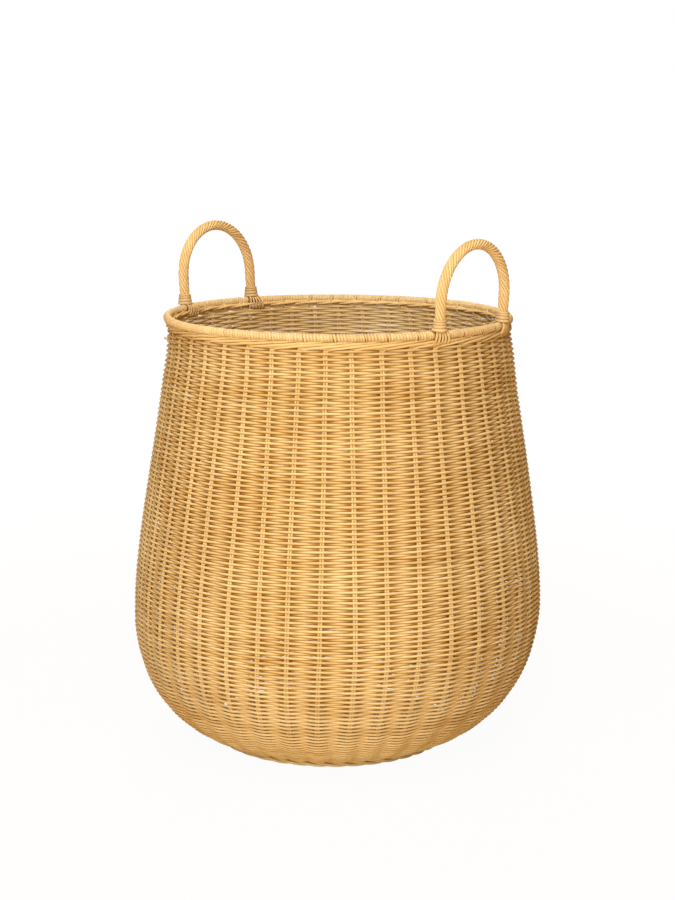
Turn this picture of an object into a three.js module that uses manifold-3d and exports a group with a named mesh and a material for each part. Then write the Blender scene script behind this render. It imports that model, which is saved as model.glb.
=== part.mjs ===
// Round floor basket in rattan core with two roped handles.
// Millimetres, +Z up. The origin is the middle of the foot, on the ground, and the handles stand on X.
// A single weaver goes in front of one pair of stakes and behind the next. The wall is three rods
// thick at each pair, and one rod thick where the rows cross between pairs, so both its faces are
// fluted. The stake pairs run along the middle of that wall, in grooves that are open to the inside,
// from the foot to the border.
import * as THREE from 'three';
import { mergeVertices } from 'three/addons/utils/BufferGeometryUtils.js';
import Module from 'manifold-3d';

const wasm = await Module();
wasm.setup();

// Driving dimensions
const ROD_DIAMETER = 2.75;
const SEAT_GAP = 0.3;

const FOOT_RADIUS = 141;
const FOOT_LIFT = 1.2;
const BELLY_RADIUS = 242;
const BELLY_HEIGHT = 160;
const MOUTH_RADIUS = 200;
const WALL_HEIGHT = 488;

// How full the outline is near the foot, the belly and the mouth, as shares of the spans between them
const FOOT_SPREAD = 0.57;
const FOOT_RISE = 0.14;
const BELLY_DROP = 0.5;
const BELLY_CLIMB = 0.26;
const MOUTH_SPREAD = 0.24;
const MOUTH_DROP = 0.33;

const STAKE_PAIRS = 41;
const STAKE_PHASE_DEGREES = -1.9;

const FOOT_WALE_WIDTH = 10;

const BASE_THICKNESS = 7.5;
const BASE_LIFT = 2.5;
const BASE_EDGE_WIDTH = 3;
const BASE_EDGE_HEIGHT = 1;
const BASE_STICK_BUNDLE = 30;
const BASE_STICK_LENGTH = 210;
const BASE_STICK_DIAMETER = 3.4;

const BORDER_WIDTH = 10.4;
const BORDER_HEIGHT = 7.9;
const BORDER_OVERHANG = 2.3;
const BORDER_RELIEF = 0.7;
const BORDER_FLAT_SHARE = 0.6;

const HOOP_DIAMETER = 6.6;
const HOOP_RADIUS = 198.5;
const PEEL_THICKNESS = 0.95;

const HANDLE_SPREAD = 117;
const HANDLE_REACH = 200;
const HANDLE_HEIGHT = 94;
const HANDLE_LEAN_DEGREES = 3;
const CORE_DIAMETER = 6.2;
const SLYPE_TIP_DIAMETER = 2.6;
const SLYPE_TIP_LIFT = 1;
const ROPE_DIAMETER = 12.2;
const ROPE_RELIEF = 0.9;
const ROPE_STRANDS = 5;
const ROPE_LAY_LENGTH = 56;

const BINDING_DIAMETER = 17.2;
const BINDING_FLARE = 1.6;
const BINDING_HEIGHT = 16;
const BINDING_SKIRT_DEPTH = 2;
const BINDING_BEADS = 2;
const BEAD_HEIGHT = 2.7;
const BEAD_DEPTH = 0.9;
const BEAD_RELIEF = 0.2;

const LASHING_WIDTH = 20;
const LASHING_SPREAD = 24;
const LASHING_THICKNESS = 1.8;
const LASHING_RELIEF = 0.6;
const LASHING_STRANDS = 3;
const LASHING_END_LIFT = 1;
const LASHING_START_DEGREES = -15;

// How finely each form is faceted
const LOWER_WALL_SPANS = 4;
const UPPER_WALL_SPANS = 3;
const HOOP_SPANS = 48;
const HOOP_SIDES = 6;
const ARCH_SPANS = 12;
const CORE_SIDES = 6;
const ROPE_STATIONS = 36;
const COLLAR_SIDES = 10;
const SADDLE_SIDES = 10;
const LASHING_BEND_SPANS = 5;

// Sizes that follow from the driving dimensions
const WALL_THICKNESS = 3 * ROD_DIAMETER;
const FLUTE_DEPTH = (WALL_THICKNESS - ROD_DIAMETER) / 2;
const STAKE_PITCH = (2 * Math.PI) / STAKE_PAIRS;
const STAKE_PHASE = THREE.MathUtils.degToRad(STAKE_PHASE_DEGREES);
const BORDER_BOTTOM = WALL_HEIGHT + SEAT_GAP;
const BORDER_TOP = BORDER_BOTTOM + BORDER_HEIGHT;
const BORDER_CENTRE_RADIUS = MOUTH_RADIUS + BORDER_OVERHANG - BORDER_WIDTH / 2;
const WRAP_INNER_RADIUS = HOOP_DIAMETER / 2 + SEAT_GAP;
const WRAP_OUTER_RADIUS = WRAP_INNER_RADIUS + PEEL_THICKNESS;
const WRAP_BOTTOM_DEPTH = WRAP_OUTER_RADIUS * Math.cos(Math.PI / HOOP_SIDES);
const HOOP_HEIGHT = BORDER_TOP + BORDER_RELIEF + SEAT_GAP + WRAP_BOTTOM_DEPTH;
const LASHING_CLEARANCE = 2 * SEAT_GAP;
const LASHING_CREST = HOOP_HEIGHT + WRAP_OUTER_RADIUS + LASHING_CLEARANCE + LASHING_THICKNESS;
const ROPE_RADIUS = ROPE_DIAMETER / 2;
const ROPE_FOOT = LASHING_CREST + SEAT_GAP;
const ARCH_RADIUS = HANDLE_SPREAD / 2;
const ARCH_SPRING = ROPE_FOOT + HANDLE_HEIGHT - ROPE_RADIUS - ARCH_RADIUS;
const HANDLE_PLANE = Math.sqrt(HANDLE_REACH ** 2 - ARCH_RADIUS ** 2);
const LEG_ANGLE = Math.atan2(ARCH_RADIUS, HANDLE_PLANE);
const HANDLE_LEAN = THREE.MathUtils.degToRad(HANDLE_LEAN_DEGREES);

const materials = {
  weave: { color: 0xd9a55b, roughness: 0.62 },
  stake: { color: 0xc98f47, roughness: 0.6 },
  peel: { color: 0xe9c589, roughness: 0.5 },
  rope: { color: 0xdcab64, roughness: 0.58 },
  core: { color: 0xcf9a55, roughness: 0.7 },
};

const basket = new THREE.Group();

function add(name, geometry, finish, turn = 0) {
  const surface = new THREE.MeshStandardMaterial({ ...materials[finish], metalness: 0 });
  const mesh = new THREE.Mesh(geometry, surface);
  mesh.name = name;
  mesh.rotation.z = turn;
  basket.add(mesh);
}

// Closed skins from rings of points

function signedVolume(positions, index) {
  const [a, b, c] = [new THREE.Vector3(), new THREE.Vector3(), new THREE.Vector3()];
  let volume = 0;
  for (let i = 0; i < index.length; i += 3) {
    a.fromArray(positions, 3 * index[i]);
    b.fromArray(positions, 3 * index[i + 1]);
    c.fromArray(positions, 3 * index[i + 2]);
    volume += a.dot(b.cross(c)) / 6;
  }
  return volume;
}

function facingOut(positions, index) {
  return signedVolume(positions, index) < 0 ? index.reverse() : index;
}

/** Fills one flat ring with triangles that turn the way the ring does. */
function capOf(ring) {
  const centre = ring.reduce((sum, point) => sum.add(point), new THREE.Vector3());
  centre.divideScalar(ring.length);
  const normal = new THREE.Vector3();
  ring.forEach((point, i) => {
    const following = ring[(i + 1) % ring.length];
    normal.add(point.clone().sub(centre).cross(following.clone().sub(centre)));
  });
  normal.normalize();
  const across = ring[0].clone().sub(centre).projectOnPlane(normal).normalize();
  const up = normal.clone().cross(across);
  const flat = ring.map((point) => {
    const arm = point.clone().sub(centre);
    return new THREE.Vector2(arm.dot(across), arm.dot(up));
  });
  return THREE.ShapeUtils.triangulateShape(flat, []);
}

function joinRings(index, here, next, sides) {
  for (let j = 0; j < sides; j += 1) {
    const k = (j + 1) % sides;
    index.push(here + j, next + j, next + k, here + j, next + k, here + k);
  }
}

function skinOf(positions, index) {
  const geometry = new THREE.BufferGeometry();
  geometry.setAttribute('position', new THREE.Float32BufferAttribute(positions, 3));
  geometry.setIndex(facingOut(positions, index));
  return geometry;
}

/** Joins rings of equally many points. Round forms close on their first ring, others get end caps. */
function loft(rings, round = false) {
  const sides = rings[0].length;
  const positions = rings.flat().flatMap((point) => point.toArray());
  const index = [];
  for (let i = 1; i < rings.length; i += 1) {
    joinRings(index, (i - 1) * sides, i * sides, sides);
  }
  const last = (rings.length - 1) * sides;
  if (round) {
    joinRings(index, last, 0, sides);
  } else {
    for (const [a, b, c] of capOf(rings[0])) {
      index.push(a, b, c);
    }
    for (const [a, b, c] of capOf(rings.at(-1))) {
      index.push(last + a, last + c, last + b);
    }
  }
  return skinOf(positions, index);
}

/** Carries a section of radius and height round the axis. The section may change with the station. */
function turned(stations, sectionAt, phase = 0) {
  const rings = [];
  for (let i = 0; i < stations; i += 1) {
    const angle = phase + (i * 2 * Math.PI) / stations;
    rings.push(sectionAt(i).map(([radius, height]) => (
      new THREE.Vector3(radius * Math.cos(angle), radius * Math.sin(angle), height)
    )));
  }
  return loft(rings, true);
}

// Joining and cutting solids

function toSolid(geometry) {
  const bare = geometry.clone();
  bare.deleteAttribute('normal');
  bare.deleteAttribute('uv');
  const merged = mergeVertices(bare, 1e-4);
  const positions = merged.attributes.position.array;
  const triVerts = facingOut(positions, new Uint32Array(merged.index.array));
  return new wasm.Manifold(new wasm.Mesh({ numProp: 3, vertProperties: positions, triVerts }));
}

function toGeometry(solid) {
  const { vertProperties, triVerts } = solid.getMesh();
  const geometry = new THREE.BufferGeometry();
  geometry.setAttribute('position', new THREE.BufferAttribute(vertProperties, 3));
  geometry.setIndex(new THREE.BufferAttribute(triVerts, 1));
  return geometry;
}

function cut(geometry, tools) {
  let solid = toSolid(geometry);
  for (const tool of tools) {
    solid = solid.subtract(toSolid(tool));
  }
  return toGeometry(solid);
}

// The wall's outer skin: one curve from the foot to the belly, and one from the belly to the mouth

const foot = new THREE.Vector2(FOOT_RADIUS, FOOT_LIFT);
const belly = new THREE.Vector2(BELLY_RADIUS, BELLY_HEIGHT);
const mouth = new THREE.Vector2(MOUTH_RADIUS, WALL_HEIGHT);
const BELLY_RISE = WALL_HEIGHT - BELLY_HEIGHT;
const lowerSkin = new THREE.CubicBezierCurve(
  foot,
  new THREE.Vector2(
    THREE.MathUtils.lerp(FOOT_RADIUS, BELLY_RADIUS, FOOT_SPREAD),
    BELLY_HEIGHT * FOOT_RISE,
  ),
  new THREE.Vector2(BELLY_RADIUS, BELLY_HEIGHT * BELLY_DROP),
  belly,
);
const upperSkin = new THREE.CubicBezierCurve(
  belly,
  new THREE.Vector2(BELLY_RADIUS, BELLY_HEIGHT + BELLY_RISE * BELLY_CLIMB),
  new THREE.Vector2(
    THREE.MathUtils.lerp(MOUTH_RADIUS, BELLY_RADIUS, MOUTH_SPREAD),
    WALL_HEIGHT - BELLY_RISE * MOUTH_DROP,
  ),
  mouth,
);

function levelsAlong(curve, spans) {
  const levels = [];
  for (let i = 0; i <= spans; i += 1) {
    const point = curve.getPointAt(i / spans);
    const upward = curve.getTangentAt(i / spans);
    levels.push({ point, upward, inward: new THREE.Vector2(-upward.y, upward.x) });
  }
  return levels;
}

const levels = [
  ...levelsAlong(lowerSkin, LOWER_WALL_SPANS),
  ...levelsAlong(upperSkin, UPPER_WALL_SPANS).slice(1),
];
levels.at(-1).inward.set(-1, 0);

function inset(level, depth) {
  return level.point.clone().addScaledVector(level.inward, depth);
}

/** One stake pair as a bar along the middle of the wall. */
function stakeBar() {
  const corners = [[-1, -1], [1, -1], [1, 1], [-1, 1]];
  return loft(levels.map((level) => corners.map(([side, face]) => {
    const at = inset(level, WALL_THICKNESS / 2 + (face * ROD_DIAMETER) / 2);
    return new THREE.Vector3(at.x, side * ROD_DIAMETER, at.y);
  })));
}

/** The wall's outer outline at one level: a ridge over each stake pair and a flute between pairs. */
function outerLoop(level) {
  const loop = [];
  for (let i = 0; i < 2 * STAKE_PAIRS; i += 1) {
    const at = inset(level, i % 2 === 0 ? 0 : FLUTE_DEPTH);
    const angle = STAKE_PHASE + (i * STAKE_PITCH) / 2;
    loop.push(new THREE.Vector3(at.x * Math.cos(angle), at.x * Math.sin(angle), at.y));
  }
  return loop;
}

/** The wall's inner outline at one level: the groove of each stake pair, and a flute after it. */
function innerLoop(level) {
  const face = inset(level, WALL_THICKNESS);
  const floor = inset(level, (WALL_THICKNESS - ROD_DIAMETER) / 2 - SEAT_GAP);
  const flute = inset(level, WALL_THICKNESS - FLUTE_DEPTH);
  const half = ROD_DIAMETER + SEAT_GAP;
  const axis = new THREE.Vector3(0, 0, 1);
  const loop = [];
  for (let i = 0; i < STAKE_PAIRS; i += 1) {
    const angle = STAKE_PHASE + i * STAKE_PITCH;
    for (const [at, side] of [[face, -half], [floor, -half], [floor, half], [face, half]]) {
      loop.push(new THREE.Vector3(at.x, side, at.y).applyAxisAngle(axis, angle));
    }
    const between = angle + STAKE_PITCH / 2;
    loop.push(new THREE.Vector3(flute.x, 0, flute.y).applyAxisAngle(axis, between));
  }
  return loop;
}

function sideWeave() {
  const outer = levels.map(outerLoop);
  const inner = levels.map(innerLoop);
  const across = outer[0].length;
  const around = inner[0].length;
  const innerStart = across * levels.length;
  const index = [];
  for (let i = 1; i < levels.length; i += 1) {
    joinRings(index, (i - 1) * across, i * across, across);
    joinRings(index, innerStart + i * around, innerStart + (i - 1) * around, around);
  }
  for (const i of [0, levels.length - 1]) {
    const place = (k) => (k < across ? i * across + k : innerStart + i * around + k - across);
    for (const triangle of THREE.ShapeUtils.triangulateShape(outer[i], [inner[i]])) {
      const [a, b, c] = triangle.map(place);
      index.push(a, ...(i === 0 ? [b, c] : [c, b]));
    }
  }
  const positions = [...outer, ...inner].flat().flatMap((point) => point.toArray());
  return skinOf(positions, index);
}

// The foot: a thick ring whose sloping side meets the bottom edge of the wall

function footWale() {
  const edge = levels[0];
  const low = inset(edge, 0).addScaledVector(edge.upward, -SEAT_GAP);
  const high = inset(edge, WALL_THICKNESS).addScaledVector(edge.upward, -SEAT_GAP);
  const innerRadius = low.x - FOOT_WALE_WIDTH;
  const section = [
    [innerRadius, 0],
    [low.x - FOOT_LIFT, 0],
    [low.x, low.y],
    [high.x, high.y],
    [innerRadius, BASE_LIFT + BASE_THICKNESS],
  ];
  return { innerRadius, geometry: turned(2 * STAKE_PAIRS, () => section, STAKE_PHASE) };
}

const wale = footWale();

// The base: a flat woven disc with crossed bundles of sticks let into its underside

function baseCross(grown = 0) {
  const long = BASE_STICK_LENGTH + 2 * grown;
  const wide = BASE_STICK_BUNDLE + 2 * grown;
  const deep = BASE_STICK_DIAMETER + grown;
  const across = new THREE.BoxGeometry(long, wide, deep);
  const along = new THREE.BoxGeometry(wide, long, deep);
  const cross = toSolid(across).add(toSolid(along));
  return toGeometry(cross).translate(0, 0, BASE_LIFT + deep / 2);
}

function baseWeave() {
  const radius = wale.innerRadius - SEAT_GAP;
  const top = BASE_LIFT + BASE_THICKNESS;
  const profile = [
    new THREE.Vector2(0, BASE_LIFT),
    new THREE.Vector2(radius, BASE_LIFT),
    new THREE.Vector2(radius, top - BASE_EDGE_HEIGHT),
    new THREE.Vector2(radius - BASE_EDGE_WIDTH, top),
    new THREE.Vector2(0, top),
  ];
  const disc = new THREE.LatheGeometry(profile, STAKE_PAIRS).rotateX(Math.PI / 2);
  const below = baseCross(SEAT_GAP);
  return cut(disc, [below, below.clone().translate(0, 0, -SEAT_GAP)]);
}

// The border: stake ends laid down sideways, so its face is a band of slanting ridges

function border(tools) {
  const centre = BORDER_BOTTOM + BORDER_HEIGHT / 2;
  const flat = BORDER_FLAT_SHARE;
  const corners = [[flat, -1], [1, 0], [flat, 1], [-flat, 1], [-1, 0], [-flat, -1]];
  const ring = turned(2 * STAKE_PAIRS, (station) => corners.map(([across, up], corner) => {
    const proud = up > -1 && (station + corner) % 2 === 0 ? BORDER_RELIEF : 0;
    const side = Math.sign(across) * proud;
    const rise = up === 1 ? proud : 0;
    return [
      BORDER_CENTRE_RADIUS + (across * BORDER_WIDTH) / 2 + side,
      centre + (up * BORDER_HEIGHT) / 2 + rise,
    ];
  }), STAKE_PHASE);
  return cut(ring, tools);
}

// The rim: a cane hoop, and the peel wound round it, which is open below where it enters the border

function hoopSection(radius, sides = HOOP_SIDES) {
  const points = [];
  for (let i = 0; i < sides; i += 1) {
    const angle = -Math.PI / 2 + ((i + 0.5) * 2 * Math.PI) / sides;
    points.push([HOOP_RADIUS + radius * Math.cos(angle), HOOP_HEIGHT + radius * Math.sin(angle)]);
  }
  return points;
}

function rimHoop(tools) {
  const section = hoopSection(HOOP_DIAMETER / 2);
  return cut(turned(HOOP_SPANS, () => section), tools);
}

function rimWrap(tools) {
  const section = [...hoopSection(WRAP_OUTER_RADIUS), ...hoopSection(WRAP_INNER_RADIUS).reverse()];
  return cut(turned(HOOP_SPANS, () => section), tools);
}

// The handles: a bent cane core, and strands laid round it as a rope. They lean a little outward.

const ARCH_LENGTH = Math.PI * ARCH_RADIUS;
const legUp = new THREE.Vector3(Math.sin(HANDLE_LEAN), 0, Math.cos(HANDLE_LEAN));
const legAside = new THREE.Vector3(Math.cos(HANDLE_LEAN), 0, -Math.sin(HANDLE_LEAN));

/** A place on the handle's centre line, by its distance from where the front leg meets the arch. */
function archStation(distance) {
  const turn = THREE.MathUtils.clamp(distance / ARCH_LENGTH, 0, 1) * Math.PI;
  const below = distance < 0 ? -distance : Math.max(0, distance - ARCH_LENGTH);
  const outward = new THREE.Vector3(0, -Math.cos(turn), 0).addScaledVector(legUp, Math.sin(turn));
  const centre = new THREE.Vector3(HANDLE_PLANE, 0, ROPE_FOOT)
    .addScaledVector(legUp, ARCH_SPRING - ROPE_FOOT - below)
    .addScaledVector(outward, ARCH_RADIUS);
  return { centre, outward };
}

function ringAround({ centre, outward }, radii, twist = 0) {
  return radii.map((radius, i) => {
    const angle = twist + (i * 2 * Math.PI) / radii.length;
    return centre.clone()
      .addScaledVector(outward, radius * Math.cos(angle))
      .addScaledVector(legAside, radius * Math.sin(angle));
  });
}

/** The pointed end of a core leg, which slips down inside the hoop into the border. */
function slype(side, grown) {
  const reach = HOOP_RADIUS - HOOP_DIAMETER / 2 - SLYPE_TIP_DIAMETER / 2 - SEAT_GAP;
  const at = (radius, height) => new THREE.Vector3(
    radius * Math.cos(LEG_ANGLE),
    side * radius * Math.sin(LEG_ANGLE),
    height,
  );
  const outward = new THREE.Vector3(0, side, 0);
  const waist = (CORE_DIAMETER + SLYPE_TIP_DIAMETER) / 4 + grown;
  const tip = BORDER_BOTTOM + SLYPE_TIP_LIFT - grown;
  return [
    { centre: at(reach, tip), outward, radius: SLYPE_TIP_DIAMETER / 2 + grown },
    { centre: at(reach, HOOP_HEIGHT), outward, radius: waist },
    { centre: at(HANDLE_REACH, ROPE_FOOT), outward, radius: CORE_DIAMETER / 2 + grown },
  ];
}

function handleCore(grown = 0) {
  const radius = CORE_DIAMETER / 2 + grown;
  const arch = [];
  for (let i = 0; i <= ARCH_SPANS; i += 1) {
    arch.push({ ...archStation((i / ARCH_SPANS) * ARCH_LENGTH), radius });
  }
  const stations = [...slype(-1, grown), ...arch, ...slype(1, grown).reverse()];
  return loft(stations.map((station) => (
    ringAround(station, Array(CORE_SIDES).fill(station.radius))
  )));
}

function handleRope() {
  const leg = ARCH_SPRING - ROPE_FOOT;
  const length = ARCH_LENGTH + 2 * leg;
  const radii = [];
  for (let i = 0; i < 2 * ROPE_STRANDS; i += 1) {
    radii.push(i % 2 === 0 ? ROPE_RADIUS : ROPE_RADIUS - ROPE_RELIEF);
  }
  const rings = [];
  for (let i = 0; i <= ROPE_STATIONS; i += 1) {
    const distance = (i / ROPE_STATIONS) * length;
    const twist = (-distance / ROPE_LAY_LENGTH) * 2 * Math.PI;
    rings.push(ringAround(archStation(distance - leg), radii, twist));
  }
  return cut(loft(rings), [handleCore(SEAT_GAP)]);
}

// The foot of each handle leg: strand ends that straddle the rim, and the collar bound above them

/** The lashing's route over the rim, from outside to inside, as radius, height and outward normal. */
function lashingRoute() {
  const half = LASHING_THICKNESS / 2;
  const stand = LASHING_CLEARANCE + half;
  const low = BORDER_BOTTOM + LASHING_END_LIFT;
  const outside = BORDER_CENTRE_RADIUS + BORDER_WIDTH / 2 + BORDER_RELIEF + stand;
  const inside = BORDER_CENTRE_RADIUS - BORDER_WIDTH / 2 - BORDER_RELIEF - stand;
  const route = [{ radius: outside, height: low, lean: 0 }];
  const first = THREE.MathUtils.degToRad(LASHING_START_DEGREES);
  for (let i = 0; i <= LASHING_BEND_SPANS; i += 1) {
    const lean = THREE.MathUtils.lerp(first, Math.PI, i / LASHING_BEND_SPANS);
    const bend = WRAP_OUTER_RADIUS + stand;
    route.push({
      radius: HOOP_RADIUS + bend * Math.cos(lean),
      height: HOOP_HEIGHT + bend * Math.sin(lean),
      lean,
    });
  }
  route.push({ radius: inside, height: BORDER_TOP, lean: Math.PI });
  route.push({ radius: inside, height: low, lean: Math.PI });
  return route;
}

function lashing(side) {
  const rings = lashingRoute().map(({ radius, height, lean }) => {
    const over = Math.max(0, Math.sin(lean));
    const width = THREE.MathUtils.lerp(LASHING_SPREAD, LASHING_WIDTH, over);
    const half = LASHING_THICKNESS / 2;
    const point = (share, depth) => {
      const reach = radius + depth * Math.cos(lean);
      const angle = side * LEG_ANGLE + (share * width) / 2 / HOOP_RADIUS;
      return new THREE.Vector3(
        reach * Math.cos(angle),
        reach * Math.sin(angle),
        height + depth * Math.sin(lean),
      );
    };
    const ring = [];
    for (let i = 0; i <= 2 * LASHING_STRANDS; i += 1) {
      const groove = i % 2 === 0 ? LASHING_RELIEF : 0;
      ring.push(point(i / LASHING_STRANDS - 1, half - groove));
    }
    ring.push(point(1, -half), point(-1, -half));
    return ring;
  });
  return loft(rings);
}

function collar(side) {
  const foot = LASHING_CREST - LASHING_THICKNESS - BINDING_SKIRT_DEPTH;
  const top = foot + BINDING_HEIGHT;
  const bore = (ROPE_RADIUS + SEAT_GAP) / Math.cos(Math.PI / COLLAR_SIDES);
  const outer = BINDING_DIAMETER / 2;
  const profile = [
    [bore, foot],
    [outer + BINDING_FLARE / 2, foot],
    [outer, top - BINDING_BEADS * BEAD_HEIGHT],
  ];
  const groove = outer + BEAD_RELIEF - BEAD_DEPTH;
  for (let i = BINDING_BEADS; i > 0; i -= 1) {
    profile.push([groove, top - i * BEAD_HEIGHT + BEAD_RELIEF]);
    profile.push([outer + BEAD_RELIEF, top - (i - 0.5) * BEAD_HEIGHT]);
  }
  profile.push([groove, top], [bore, top], [bore, foot]);
  const points = profile.map(([radius, height]) => new THREE.Vector2(radius, height));
  const ring = new THREE.LatheGeometry(points, COLLAR_SIDES).rotateX(Math.PI / 2);
  ring.translate(0, 0, -ROPE_FOOT).rotateY(HANDLE_LEAN);
  ring.translate(HANDLE_PLANE, side * ARCH_RADIUS, ROPE_FOOT);
  const saddle = (LASHING_CREST + SEAT_GAP - HOOP_HEIGHT) / Math.cos(Math.PI / SADDLE_SIDES);
  return cut(ring, [turned(HOOP_SPANS, () => hoopSection(saddle, SADDLE_SIDES))]);
}

// Building the basket from the ground up

const slypes = [handleCore(SEAT_GAP), handleCore(SEAT_GAP).rotateZ(Math.PI)];

add('foot_wale', wale.geometry, 'weave');
add('base_sticks', baseCross(), 'stake');
add('base_weave', baseWeave(), 'weave');
add('side_weave', sideWeave(), 'weave');
for (let i = 0; i < STAKE_PAIRS; i += 1) {
  const number = String(i + 1).padStart(2, '0');
  add(`stake_pair_${number}`, stakeBar(), 'stake', STAKE_PHASE + i * STAKE_PITCH);
}
add('border', border(slypes), 'weave');
add('rim_hoop', rimHoop(slypes), 'core');
add('rim_wrap', rimWrap(slypes), 'peel');
for (const [hand, turn, ends] of [
  ['right', 0, ['front', 'back']],
  ['left', Math.PI, ['back', 'front']],
]) {
  add(`handle_core_${hand}`, handleCore(), 'core', turn);
  add(`handle_rope_${hand}`, handleRope(), 'rope', turn);
  ends.forEach((end, i) => {
    const side = 2 * i - 1;
    const strands = cut(lashing(side), [handleCore(SEAT_GAP)]);
    add(`leg_lashing_${hand}_${end}`, strands, 'rope', turn);
    add(`leg_binding_${hand}_${end}`, collar(side), 'peel', turn);
  });
}

export default basket;
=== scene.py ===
"""Round floor basket in honey rattan with two roped handles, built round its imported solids.

Every rod of the real basket is a rod here: one long weaver runs round the stake pairs in plain weave,
the stake ends are laid down as the border, flat peel is wound round the rim, and cane strands are laid
round each handle. Lengths are in metres, +Z is up, and the handles stand on X.
"""

from __future__ import annotations

import logging
import math
from collections.abc import Mapping, Sequence
from dataclasses import dataclass, field
from enum import Enum

import bmesh
import bpy
import numpy as np
from mathutils import Matrix, Vector

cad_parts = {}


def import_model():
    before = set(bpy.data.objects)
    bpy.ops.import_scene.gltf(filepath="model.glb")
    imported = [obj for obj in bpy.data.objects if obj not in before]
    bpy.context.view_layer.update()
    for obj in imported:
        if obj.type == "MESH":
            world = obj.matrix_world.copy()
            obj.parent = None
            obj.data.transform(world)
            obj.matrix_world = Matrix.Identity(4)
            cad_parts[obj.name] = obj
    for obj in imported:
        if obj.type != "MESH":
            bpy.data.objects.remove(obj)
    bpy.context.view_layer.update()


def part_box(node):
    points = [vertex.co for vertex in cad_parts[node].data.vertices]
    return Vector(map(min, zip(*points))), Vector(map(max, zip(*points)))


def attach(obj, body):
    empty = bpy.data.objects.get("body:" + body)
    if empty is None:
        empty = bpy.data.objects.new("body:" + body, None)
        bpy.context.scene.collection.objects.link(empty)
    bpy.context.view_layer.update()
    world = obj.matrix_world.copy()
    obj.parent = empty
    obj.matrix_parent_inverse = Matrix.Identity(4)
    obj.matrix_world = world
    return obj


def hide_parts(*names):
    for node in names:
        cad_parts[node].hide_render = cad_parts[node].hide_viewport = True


LOG = logging.getLogger("basket")
BODY = "root"
FULL_TURN = 2 * math.pi

Colour = tuple[float, float, float]
Materials = Mapping["Slot", bpy.types.Material]
Waves = tuple[tuple[float, float, float], ...]


class Slot(Enum):
    """The record's material slots."""

    WEAVE = "weave"
    STAKE = "stake"
    BORDER = "border"
    PEEL = "peel"
    ROPE = "rope"
    CORE = "core"


@dataclass(frozen=True)
class Bend:
    """What sets one handle apart from the other and from its solid.

    Attributes:
        word: The word that the frame's node names use.
        turn: The turn about +Z that carries the right handle to it, in radians.
        fan: How far the strand ends at its feet spread more to one side than to the other.
        splay: How much further out it leans than its solid, for each metre up.
        stretch: How much taller it is than its solid.
    """

    word: str
    turn: float = 0.0
    fan: float = 0.0
    splay: float = 0.0
    stretch: float = 1.0


class Hand(Enum):
    """The two handles."""

    RIGHT = Bend("right", fan=0.0024)
    LEFT = Bend("left", turn=math.pi, fan=-0.0032, splay=0.022, stretch=1.011)


class End(Enum):
    """The two legs of a handle, by the side of the basket's Y axis that they stand on."""

    FRONT = -1
    BACK = 1

    def node(self, part: str, hand: Hand) -> str:
        """The frame's name of a part of this leg, once the handle is turned to its place.

        Args:
            part: The part, such as leg_binding.
            hand: The handle that the leg belongs to.

        Returns:
            The node's name.
        """
        place = self if hand is Hand.RIGHT else End(-self.value)
        return f"{part}_{hand.value.word}_{place.name.lower()}"


# Shader nodes


class Wire:
    """One output socket of a node tree, on which arithmetic adds Math nodes."""

    def __init__(self, tree: Shader, socket: bpy.types.NodeSocket) -> None:
        """Keeps the socket with the shader that it belongs to."""
        self.tree = tree
        self.socket = socket

    def _math(self, operation: str, first: Wire | float, second: Wire | float) -> Wire:
        """Adds one Math node on two values."""
        return self.tree.node("ShaderNodeMath", {"operation": operation}, {0: first, 1: second})

    def __add__(self, other: Wire | float) -> Wire:
        """This value plus another."""
        return self._math("ADD", self, other)

    def __radd__(self, other: float) -> Wire:
        """A number plus this value."""
        return self._math("ADD", other, self)

    def __sub__(self, other: Wire | float) -> Wire:
        """This value less another."""
        return self._math("SUBTRACT", self, other)

    def __rsub__(self, other: float) -> Wire:
        """A number less this value."""
        return self._math("SUBTRACT", other, self)

    def __mul__(self, other: Wire | float) -> Wire:
        """This value times another."""
        return self._math("MULTIPLY", self, other)

    def __rmul__(self, other: float) -> Wire:
        """A number times this value."""
        return self._math("MULTIPLY", other, self)

    def at_most(self, limit: Wire | float) -> Wire:
        """The smaller of this value and a limit."""
        return self._math("MINIMUM", self, limit)

    def at_least(self, limit: Wire | float) -> Wire:
        """The larger of this value and a limit."""
        return self._math("MAXIMUM", self, limit)


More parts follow.
